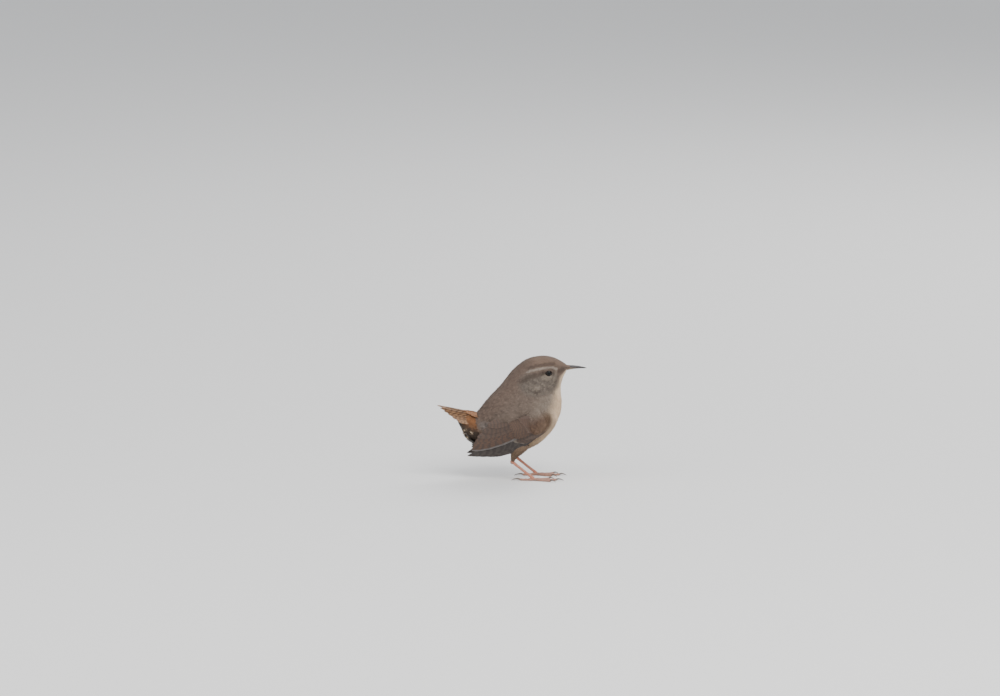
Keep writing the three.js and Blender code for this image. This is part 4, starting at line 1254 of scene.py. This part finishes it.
def vaneTree():
    # Sweeps the vane's section along each quill, as wide as the quill says
    tree, t = geometryTree("vanesOnQuills", [
        ("Section", "NodeSocketObject", None),
        ("Feather Count", "NodeSocketFloat", 40.0),
        ("Finish", "NodeSocketMaterial", None),
    ])
    given = t.add("NodeGroupInput").outputs

    quills = t.add("GeometryNodeMeshToCurve", None, Mesh=given["Geometry"])
    facing = t.add("GeometryNodeSetCurveNormal", {"mode": "FREE"}, Curve=quills.outputs[0])
    t.feed(facing, "Normal", t.named("facing", "FLOAT_VECTOR"))
    section = t.add("GeometryNodeObjectInfo", None, Object=given["Section"])
    outline = t.add("GeometryNodeMeshToCurve", None, Mesh=section.outputs["Geometry"])
    swept = t.add("GeometryNodeCurveToMesh", None, Curve=facing.outputs[0])
    t.feed(swept, "Profile Curve", outline.outputs[0])
    t.feed(swept, "Scale", t.named("halfWidth"))
    swept.inputs["Fill Caps"].default_value = True
    isRim = t.math("GREATER_THAN", t.math("ABSOLUTE", t.named("across")), 0.95)
    rims = t.stored(swept.outputs[0], "sharp_edge", "BOOLEAN", "EDGE", isRim)
    real = t.add("GeometryNodeRealizeInstances", None, i0=rims)
    middle = t.math("ADD", t.named("slot"), 0.5)
    strip = t.math("DIVIDE", t.math("MULTIPLY_ADD", t.named("across"), 0.45, middle), given["Feather Count"])
    patch = t.add("ShaderNodeCombineXYZ", None, X=strip, Y=t.named("along"))
    baked = t.stored(real.outputs[0], "OFBake", "FLOAT2", "CORNER", patch.outputs[0])
    finished = t.add("GeometryNodeSetMaterial", None, i0=baked)
    t.feed(finished, "Material", given["Finish"])
    t.add("NodeGroupOutput", None, i0=finished.outputs[0])
    return tree


vanes = vaneTree()
section = vaneSection("vaneSection")
wingFinish = vaneMaterial("barredWing", bars=8.5, barbs=70.0, roughness=0.55)
tailFinish = vaneMaterial("barredTail", bars=9.0, barbs=60.0, roughness=0.55)
vanePieces = {}
for label, quills, finish, slotName in (
    ("wing_feathers_left", wingQuills("left"), wingFinish, "wing_feathers"),
    ("wing_feathers_right", wingQuills("right"), wingFinish, "wing_feathers"),
    ("tail_feathers", tailQuills(), tailFinish, "tail_feathers"),
):
    mesh = growOn(label, quillMesh(label + "_quills", quills), vanes, {
        "Section": section, "Feather Count": float(quills["count"]), "Finish": finish,
    })
    vanePieces[label] = newObject(label, mesh)
    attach(vanePieces[label], "root")
    print(label, quills["count"], "feathers,", trianglesOf(mesh), "triangles")
for sideName in sides:
    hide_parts("wing_" + sideName)
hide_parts("tail")

# Bill: two horn halves that meet along the mouth line
billPlan = {"half": profile([(0, 1.75), (0.35, 1.2), (0.7, 0.68), (0.93, 0.3), (1, 0.05)]),
            "rise": profile([(0, 2.1), (0.35, 1.25), (0.7, 0.72), (0.93, 0.3), (1, 0.05)]),
            "drop": profile([(0, 1.5), (0.35, 0.85), (0.7, 0.48), (0.93, 0.2), (1, 0.05)]),
            "rings": 70, "around": 30, "back": 1.2, "gap": 0.07, "nostrilX": 30.2,
            "horn": (0.036, 0.030, 0.030), "pale": (0.360, 0.250, 0.150)}


def mouthHeight(x):
    fromCorner = x - bird["mouth"][0]
    return bird["mouth"][1] + fromCorner * bird["mouthRise"] + 0.55 * math.sin(math.pi * fromCorner / 14.4)


def billHalfMesh(name, turn, depth, length):
    rings, around = billPlan["rings"], billPlan["around"]
    grid = np.zeros((rings, around, 3))
    back = billPlan["back"]
    for i in range(rings):
        s = i / (rings - 1)
        x = bird["billTip"][0] - bird["billLength"] - back + (length + back) * s
        share = max(0.0, (x - (bird["billTip"][0] - bird["billLength"])) / length)
        bend = 0.75 * max(0.0, share - 0.6) ** 2
        wide, tall = float(billPlan["half"](share)), float(depth(share))
        level = mouthHeight(x) + turn * billPlan["gap"] - bend
        for k in range(around):
            angle = 2 * math.pi * k / around
            aside, height = math.cos(angle), math.sin(angle)
            if height >= 0:
                ridge = 1 + 0.05 * math.exp(-((angle - math.pi / 2) / 0.22) ** 2)
                z = tall * height ** 0.92 * ridge
                y = wide * math.copysign(abs(aside) ** 1.05, aside)
                if turn > 0:
                    fromNostril = x - billPlan["nostrilX"]
                    slot = math.exp(-((fromNostril / 0.95) ** 2 + ((z - 0.78) / 0.26) ** 2))
                    y -= math.copysign(0.34 * slot, aside) * min(1, abs(y))
                    hood = math.exp(-(((fromNostril + 0.1) / 1.3) ** 2 + ((z - 1.12) / 0.22) ** 2))
                    y += math.copysign(0.09 * hood, aside) * min(1, abs(y))
            else:
                z, y = 0.05 * height, wide * 0.93 * aside
            grid[i, k] = (x, y, level + turn * z)
    points, faces = closedRings(grid)
    faces = turnedOut(points, faces)
    mesh = newMesh(name, place(points), faces)
    share = np.clip((points[:, 0] - 26) / 12.5, 0, 1)
    belowMouth = points[:, 2] < np.array([mouthHeight(x) for x in points[:, 0]]) + 0.12
    lowerPale, upperPale = 1 - ramp(share, 0.1, 0.72), 0.22 * (1 - ramp(share, 0.0, 0.25))
    storeValues(mesh, "pale", np.where(belowMouth, lowerPale, upperPale))
    return mesh


hornFinish, t, shader = newMaterial("billHorn")
billPlace = t.objectPlace()
streaks = t.add("ShaderNodeMapping", None, Vector=billPlace)
streaks.inputs["Scale"].default_value = (0.25, 1.6, 1.6)
grain = useGroup(t, hornGrain, Place=streaks.outputs[0], Size=900.0, Amount=0.45)
t.feed(grain, "Tint", t.mixed(namedValue(t, "pale"), (*billPlan["horn"], 1), (*billPlan["pale"], 1)))
t.feed(grain, "Dark", (0.035, 0.026, 0.024, 1))
t.feed(shader, "Base Color", grain.outputs["Color"])
t.feed(shader, "Normal", t.bump(grain.outputs["Height"], 0.15, 0.00005))
shader.inputs["Roughness"].default_value = 0.42
for label, turn, depth, length, node in (
    ("bill_upper_horn", 1, billPlan["rise"], bird["billLength"], "bill_upper"),
    ("bill_lower_horn", -1, billPlan["drop"], bird["billLength"] - 0.5, "bill_lower"),
):
    half = newObject(label, billHalfMesh(label, turn, depth, length), hornFinish)
    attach(half, "root")
    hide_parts(node)


collarPlan = {"rings": 24, "around": 48, "start": 26.6, "end": 29.9, "loose": 0.42, "length": (1.0, 0.7),
              "width": 0.34, "lift": 0.10, "map": (0.02, 0.965, 0.2, 0.03)}


def collarSkin():
    # Short feathers that lie forward over the bill's root
    plan = collarPlan
    rings, around = plan["rings"], plan["around"]
    grid = np.zeros((rings, around, 3))
    for i in range(rings):
        s = i / (rings - 1)
        x = mix(plan["start"], plan["end"], s)
        share = max(0.0, (x - bird["billTip"][0] + bird["billLength"]) / bird["billLength"])
        loose = plan["loose"] * (1 - s) ** 2 + 0.02
        for k in range(around):
            angle = 2 * math.pi * k / around
            tall = float(billPlan["rise"](share) if math.sin(angle) > 0 else billPlan["drop"](share)) + loose
            wide = float(billPlan["half"](share)) + loose
            grid[i, k] = (x - 0.5 * (math.sin(angle) < 0), wide * math.cos(angle),
                          mouthHeight(x) + tall * math.sin(angle))
    x, y, z = grid.reshape(-1, 3).T
    height = np.tile(np.sin(circleAngles(around)), rings)
    shares = np.repeat(np.linspace(0, 1, rings), around)
    tint, barTint, barring = paintPlumage(x, y, z, np.full(len(x), 0.02), height)
    facts = {"featherLength": mix(*plan["length"], shares) * mm,
             "featherWidth": np.full(len(x), plan["width"] * mm),
             "lift": np.full(len(x), plan["lift"]), "cover": 1 - ramp(shares, 0.9, 0.98),
             "barring": barring * 0,
             "tint": tint, "barTint": barTint}
    return coatBody("skin_collar", grid, shares, plan["map"], facts)


collarMesh = collarSkin()
collarCoat = growCoat("coat_collar", collarMesh.copy(), faceFeathers, (-1, 0.97), 0.15, seed=70, stray=0.3)
for piece in (newObject("skin_collar", collarMesh, skinFinish), newObject("coat_collar", collarCoat)):
    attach(piece, "root")

# Eyes: a dark glossy ball behind two lids
eyePlan = {"axisForward": 0.20, "ball": 2.04, "openWide": 1.85, "openTall": 1.50, "around": 72, "lidRows": [
    # how far outside the opening, and how high over the ball at the opening's edge
    (-0.22, 0.02), (-0.02, 0.12), (0.12, 0.20), (0.30, 0.20), (0.58, 0.10), (0.92, -0.08), (1.3, -0.5),
    (0.8, -1.6), (0.0, -1.2),
], "pupil": (0.002, 0.002, 0.002), "irisDark": (0.008, 0.005, 0.004), "irisPale": (0.020, 0.011, 0.007),
           "rim": (0.006, 0.004, 0.004), "ringFeather": {"length": 0.62, "width": 0.30, "lift": 0.1}}


def eyeFrame(side):
    x, z = bird["eye"]
    centre = np.array([x, side * (bodySide(x, z) - bird["eyeSunk"]), z])
    ahead = eyePlan["axisForward"]
    axis = np.array([math.sin(ahead), side * math.cos(ahead), 0.0])
    along = np.array([math.cos(ahead), -side * math.sin(ahead), 0.0])
    return centre, axis, along


eyeFinish, t, shader = newMaterial("wetEye")
irisEdge = t.remap(namedValue(t, "fromPupil"), 0.50, 0.58)
rimEdge = t.remap(namedValue(t, "fromPupil"), 0.80, 0.9)
irisGrain = t.add("ShaderNodeTexNoise", None, Scale=2200.0, Vector=t.objectPlace())
irisTone = t.mixed(irisGrain.outputs["Fac"], (*eyePlan["irisDark"], 1), (*eyePlan["irisPale"], 1))
pupil = t.mixed(irisEdge, (*eyePlan["pupil"], 1), irisTone)
t.feed(shader, "Base Color", t.mixed(rimEdge, pupil, (*eyePlan["rim"], 1)))
shader.inputs["Roughness"].default_value = 0.06
shader.inputs["IOR"].default_value = 1.34
shader.inputs["Specular IOR Level"].default_value = 0.35

lidFinish, t, shader = newMaterial("lidSkin")
lidGrain = useGroup(t, hornGrain, Place=t.objectPlace(), Size=1800.0, Amount=0.6)
t.feed(lidGrain, "Tint", namedValue(t, "tint", "Vector"))
t.feed(lidGrain, "Dark", (0.05, 0.038, 0.03, 1))
t.feed(shader, "Base Color", lidGrain.outputs["Color"])
t.feed(shader, "Normal", t.bump(lidGrain.outputs["Height"], 0.4, 0.00004))
shader.inputs["Roughness"].default_value = 0.6


def eyeballMesh(name, side):
    centre, axis, along = eyeFrame(side)
    rings, around = 40, 56
    upward = np.array([0.0, 0.0, 1.0])
    grid = np.zeros((rings, around, 3))
    for i in range(rings):
        lean = mix(0.02, math.pi - 0.02, i / (rings - 1))
        for k in range(around):
            angle = 2 * math.pi * k / around
            spoke = along * math.cos(angle) + upward * math.sin(angle)
            bulge = 1.0 + 0.035 * math.exp(-((lean / 0.62) ** 2))
            grid[i, k] = centre + eyePlan["ball"] * bulge * (axis * math.cos(lean) + spoke * math.sin(lean))
    points, faces = closedRings(grid)
    faces = turnedOut(points, faces)
    mesh = newMesh(name, place(points), faces)
    away = np.linalg.norm(np.cross(points - centre, axis), axis=1) / bird["eyeRadius"]
    storeValues(mesh, "fromPupil", np.where((points - centre) @ axis > 0, away, 1.0))
    return mesh


def lidMesh(name, side):
    centre, axis, along = eyeFrame(side)
    upward = np.array([0.0, 0.0, 1.0])
    rows, around = len(eyePlan["lidRows"]), eyePlan["around"]
    grid = np.zeros((rows, around, 3))
    for i, (beyond, rise) in enumerate(eyePlan["lidRows"]):
        for k in range(around):
            angle = 2 * math.pi * k / around
            cosine, sine = math.cos(angle), math.sin(angle)
            opening = math.hypot(eyePlan["openWide"] * cosine, eyePlan["openTall"] * sine)
            overhang = 0.08 * max(0.0, sine) * (beyond > 0)
            level = math.sqrt(eyePlan["ball"] ** 2 - opening ** 2) + rise + overhang
            wide = eyePlan["openWide"] + beyond + 0.1 * abs(cosine) ** 8
            tall = eyePlan["openTall"] + beyond
            grid[i, k] = centre + along * wide * cosine + upward * tall * sine + axis * level
    faces = []
    for i in range(rows):
        for k in range(around):
            n, j = (k + 1) % around, (i + 1) % rows
            faces.append((i * around + k, j * around + k, j * around + n, i * around + n))
    points = grid.reshape(-1, 3)
    faces = turnedOut(points, faces)
    mesh = newMesh(name, place(points), faces)
    sines = np.tile(np.sin(circleAngles(around)), rows)
    row = np.repeat(np.arange(rows), around)
    rimPale = np.exp(-((row - 2.8) / 0.7) ** 2) * ramp(-sines, 0.0, 0.6)
    dark, pale = np.array((0.060, 0.044, 0.036)), np.array((0.520, 0.430, 0.340))
    storeValues(mesh, "tint", dark + (pale - dark) * rimPale[:, None], "FLOAT_VECTOR")
    # What the ring of tiny feathers round the lids needs: they part in front of the eye and close behind it
    turn = circleAngles(around)
    flow = (along * (-0.5 * np.cos(turn) ** 2 - 1.6 * np.sin(turn) ** 2)[:, None]
            + upward * (1.1 * np.sin(turn) * np.cos(turn))[:, None])
    normal = np.cross(np.roll(grid, -1, axis=1) - np.roll(grid, 1, axis=1),
                      np.roll(grid, -1, axis=0) - np.roll(grid, 1, axis=0)).reshape(-1, 3)
    normal /= np.linalg.norm(normal, axis=1)[:, None]
    lie = np.tile(flow, (rows, 1))
    lie = lie - normal * np.sum(lie * normal, axis=1)[:, None]
    lie /= np.linalg.norm(lie, axis=1)[:, None]
    coat = mesh.copy()
    coat.attributes.remove(coat.attributes["tint"])
    count = len(points)
    tint, barTint, barring = paintPlumage(*points.T, np.full(count, 0.1), np.zeros(count))
    below = 1 - ramp(sines, -0.9, -0.35)
    tint = tint + (np.array(plumage["cheekPale"]) - tint) * (0.6 * below)[:, None]
    storeValues(coat, "lie", lie, "FLOAT_VECTOR")
    small = eyePlan["ringFeather"]
    for label, value in (("zone", 0.5), ("featherLength", small["length"] * mm),
                         ("featherWidth", small["width"] * mm), ("lift", small["lift"])):
        storeValues(coat, label, np.full(count, value))
    storeValues(coat, "cover", ((row >= 2) & (row <= 6)).astype(float))
    storeValues(coat, "barring", barring * 0)
    storeValues(coat, "tint", tint, "FLOAT_VECTOR")
    storeValues(coat, "barTint", barTint, "FLOAT_VECTOR")
    spots = np.array([(0.97 + 0.015 * math.cos(a), (0.84 if side > 0 else 0.9) + 0.015 * math.sin(a))
                      for a in turn])
    storeUv(coat, "OFBake", [spots[v % around] for f in faces for v in f])
    return mesh, coat


for sideName, side in sides.items():
    ball = newObject("eyeball_" + sideName, eyeballMesh("eyeball_" + sideName, side), eyeFinish)
    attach(ball, "root")
    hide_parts("eye_" + sideName)
    lids, lidCoat = lidMesh("lids_" + sideName, side)
    lids = newObject("lids_" + sideName, lids, lidFinish)
    ringMesh = growCoat("coat_lids_" + sideName, lidCoat, faceFeathers, (0, 1), 0.12, seed=50, stray=0.3)
    ring = newObject("coat_lids_" + sideName, ringMesh)
    for piece in (lids, ring):
        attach(piece, "root")
print("bill and eyes shaped")

# Legs, claws and bristles are tubes along paths
legLook = {"tarsus": 0.76, "toe": 0.68, "skin": (0.455, 0.168, 0.100), "toeSkin": (0.330, 0.190, 0.140),
           "claw": (0.120, 0.085, 0.065)}
toeKinds = [
    {"name": "hind", "turn": 176, "length": 7.4, "claw": 4.6},
    {"name": "inner", "turn": 27, "length": 8.2, "claw": 3.1},
    {"name": "middle", "turn": 1, "length": 11.4, "claw": 3.5},
    {"name": "outer", "turn": -25, "length": 9.0, "claw": 3.0},
]


def tubeTree():
    # Sweeps a round section along each path, as thick as the path says
    tree, t = geometryTree("tubesOnPaths", [
        ("Sides", "NodeSocketInt", 18),
        ("Finish", "NodeSocketMaterial", None),
    ])
    given = t.add("NodeGroupInput").outputs
    paths = t.add("GeometryNodeMeshToCurve", None, Mesh=given["Geometry"])
    circle = t.add("GeometryNodeCurvePrimitiveCircle", None, Resolution=given["Sides"])
    circle.inputs["Radius"].default_value = 1.0
    swept = t.add("GeometryNodeCurveToMesh", None, Curve=paths.outputs[0])
    t.feed(swept, "Profile Curve", circle.outputs[0])
    t.feed(swept, "Scale", t.named("thickness"))
    swept.inputs["Fill Caps"].default_value = True
    real = t.add("GeometryNodeRealizeInstances", None, i0=swept.outputs[0])
    finished = t.add("GeometryNodeSetMaterial", None, i0=real.outputs[0])
    t.feed(finished, "Material", given["Finish"])
    t.add("NodeGroupOutput", None, i0=finished.outputs[0])
    return tree


tubes = tubeTree()


def tubesAlong(name, paths, finish, sideCount=18):
    points, edges, values = [], [], {"thickness": [], "along": [], "scutes": [], "grey": []}
    for path in paths:
        start = len(points)
        count = path["points"]
        for i in range(count):
            s = i / (count - 1)
            points.append(place(curveAt(path["through"], s)))
            values["thickness"].append(path["thickness"](s) * mm)
            values["along"].append(s)
            values["scutes"].append(path.get("scutes", 0))
            values["grey"].append(path.get("grey", 0.0))
            if i:
                edges.append((start + i - 1, start + i))
    mesh = bpy.data.meshes.new(name + "_paths")
    mesh.from_pydata([tuple(p) for p in points], edges, [])
    for label, row in values.items():
        storeValues(mesh, label, row)
    grown = growOn(name, mesh, tubes, {"Sides": sideCount, "Finish": finish})
    grown.shade_smooth()
    for vertex in grown.vertices:
        vertex.co.z = max(vertex.co.z, 0.00001)
    return newObject(name, grown)


def legMaterial(name):
    material, t, shader = newMaterial(name)
    where = t.objectPlace()
    skin = useGroup(t, hornGrain, Place=where, Size=700.0, Amount=0.35)
    t.feed(skin, "Tint", t.mixed(namedValue(t, "grey"), (*legLook["skin"], 1), (*legLook["toeSkin"], 1)))
    t.feed(skin, "Dark", (0.250, 0.150, 0.110, 1))
    phase = t.math("FRACT", t.math("MULTIPLY", namedValue(t, "along"), namedValue(t, "scutes")))
    joint = t.remap(phase, 0.84, 1.0)
    darker = t.math("MULTIPLY_ADD", joint, -0.35, 1.0)
    t.feed(shader, "Base Color", t.scaled(skin.outputs["Color"], darker))
    relief = t.math("MULTIPLY_ADD", joint, -1.0, t.math("MULTIPLY", skin.outputs["Height"], 0.25))
    t.feed(shader, "Normal", t.bump(relief, 0.6, 0.00008))
    shader.inputs["Roughness"].default_value = 0.48
    shader.inputs["Subsurface Weight"].default_value = 0.12
    shader.inputs["Subsurface Scale"].default_value = 0.0006
    return material


legFinish = legMaterial("scaledLeg")
clawFinish, t, shader = newMaterial("clawHorn")
clawGrain = useGroup(t, hornGrain, Place=t.objectPlace(), Size=900.0, Amount=0.5)
t.feed(clawGrain, "Tint", (*legLook["claw"], 1))
t.feed(clawGrain, "Dark", (0.050, 0.036, 0.030, 1))
t.feed(shader, "Base Color", clawGrain.outputs["Color"])
t.feed(shader, "Normal", t.bump(clawGrain.outputs["Height"], 0.1, 0.00003))
shader.inputs["Roughness"].default_value = 0.35


def scaled(girth, scutes, depth=0.05):  # a girth with raised plates along it
    return lambda s: float(girth(s)) * (1 + depth * ((s * scutes) % 1.0 - 0.4))


for sideName, leg in legPlan.items():
    side, ankle, foot = leg["side"], leg["ankle"], leg["foot"]
    shank = profile([(0, 0.5), (0.03, 1.15), (0.12, 1.05), (0.4, 0.93), (0.8, 0.95), (0.94, 1.1), (1, 0.7)])
    paths = [{"through": [
        (ankle[0] - 0.3, side * stance["ankle"], ankle[1] + 0.2),
        (mix(ankle[0], foot[0], 0.5), side * mix(stance["ankle"], stance["foot"], 0.5),
         mix(ankle[1], foot[1], 0.52)),
        (foot[0] + 0.2, side * stance["foot"], 1.0),
    ], "thickness": lambda s: legLook["tarsus"] * scaled(shank, 8)(s), "points": 110, "scutes": 8}]
    nails = []
    toeGirth = profile([(0, 1.2), (0.18, 1.0), (0.33, 1.14), (0.5, 0.88), (0.64, 1.05), (0.82, 0.84),
                        (0.95, 0.9), (1, 0.55)])
    for kind in toeKinds:
        angle = math.radians(kind["turn"])

        def at(reach, height):
            return (foot[0] + 0.4 + reach * math.cos(angle),
                    side * (stance["foot"] - reach * math.sin(angle)), height)

        low = legLook["toe"] * 0.72
        plates = round(kind["length"] * 1.5)
        toeThickness = scaled(toeGirth, plates, 0.08)
        paths.append({"through": [at(-0.5, low + 0.4), at(kind["length"] * 0.3, low + 0.2),
                                  at(kind["length"] * 0.62, low), at(kind["length"] + 0.25, low + 0.12)],
                      "thickness": lambda s, toeThickness=toeThickness: legLook["toe"] * toeThickness(s),
                      "points": 90, "scutes": plates, "grey": 0.75})
        start, claw = kind["length"] - 0.35, kind["claw"] + 0.62
        nails.append({"through": [at(start, low + 0.12), at(start + claw * 0.35, low + 0.50),
                                  at(start + claw * 0.74, low + 0.22), at(start + claw, 0.10)],
                      "thickness": lambda s: 0.46 * (1 - s) ** 0.75 + 0.03, "points": 30, "scutes": 0})
    legs = tubesAlong("leg_" + sideName, paths, legFinish)
    claws = tubesAlong("claws_" + sideName, nails, clawFinish, 14)
    for piece, slotName in ((legs, "leg_skin"), (claws, "claw")):
        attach(piece, "root")
    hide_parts("tarsus_" + sideName, "foot_" + sideName)
    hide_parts(*("claw_" + sideName + "_" + kind["name"] for kind in toeKinds))

bristlePlan = {"count": 7, "first": (26.0, 2.6, 58.4), "step": (0.30, -0.22, 0.10), "lower": 0.5}
bristleDraw = random.Random(8)
bristles = []
for side in sides.values():
    for i in range(bristlePlan["count"]):
        x, y, z = (first + step * i for first, step in zip(bristlePlan["first"], bristlePlan["step"]))
        root = np.array([x, side * y, z - bristlePlan["lower"] * (i % 2)])
        sweep = np.array([2.1 + 0.3 * bristleDraw.random(), side * (0.75 - 0.08 * i),
                          -0.75 + 0.35 * bristleDraw.random()])
        middle = root + sweep * 0.5 + np.array([0, side * 0.2, 0.15])
        bristles.append({"through": [root, middle, root + sweep],
                         "thickness": lambda s: 0.045 * (1 - s) + 0.008, "points": 9})
whiskers = tubesAlong("gape_bristles", bristles, clawFinish, 5)
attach(whiskers, "root")
print("legs, claws and bristles shaped")

# Floor, lights and camera
stage = {"floorSize": 40.0, "floorColour": (0.80, 0.79, 0.77), "distance": 6.0, "elevation": 9.0,
         "frameWidth": 0.520, "aim": (-0.0062, 0.0, 0.0686), "skyColour": (0.92, 0.95, 1.0), "sky": 0.75,
         "lampsAim": (0, 0, 0.035)}
floorMaterial, t, shader = newMaterial("paleFloor")
shader.inputs["Base Color"].default_value = (*stage["floorColour"], 1)
shader.inputs["Roughness"].default_value = 0.8
half = stage["floorSize"] / 2
corners = [(-half, -half, 0), (half, -half, 0), (half, half, 0), (-half, half, 0)]
floor = newObject("floor", newMesh("floor", corners, [(0, 1, 2, 3)], smooth=False), floorMaterial)
world = bpy.data.worlds.new("studio")
bpy.context.scene.world = world
world.use_nodes = True
sky = world.node_tree.nodes["Background"]
sky.inputs["Color"].default_value = (*stage["skyColour"], 1)
sky.inputs["Strength"].default_value = stage["sky"]

lamps = [
    {"name": "key", "at": (0.5, -0.9, 1.1), "power": 20, "size": 0.9},
    {"name": "fill", "at": (-1.0, -0.6, 0.6), "power": 8, "size": 1.2},
    {"name": "rim", "at": (0.5, 0.9, 0.9), "power": 9, "size": 0.8},
]
for lamp in lamps:
    light = bpy.data.lights.new(lamp["name"], "AREA")
    light.energy = lamp["power"]
    light.size = lamp["size"]
    holder = bpy.data.objects.new(lamp["name"], light)
    holder.location = lamp["at"]
    towards = Vector(stage["lampsAim"]) - holder.location
    holder.rotation_euler = towards.to_track_quat("-Z", "Y").to_euler()
    bpy.context.scene.collection.objects.link(holder)

camera = bpy.data.cameras.new("camera")
camera.sensor_width = 36
camera.lens = 36 * stage["distance"] / stage["frameWidth"]
camera.clip_end = 100
viewer = bpy.data.objects.new("camera", camera)
aim = Vector(stage["aim"])
tilt = math.radians(stage["elevation"])
viewer.location = aim + Vector((0, -math.cos(tilt), math.sin(tilt))) * stage["distance"]
viewer.rotation_euler = (aim - viewer.location).to_track_quat("-Z", "Y").to_euler()
bpy.context.scene.collection.objects.link(viewer)
bpy.context.scene.camera = viewer
print("stage, lights and camera set")
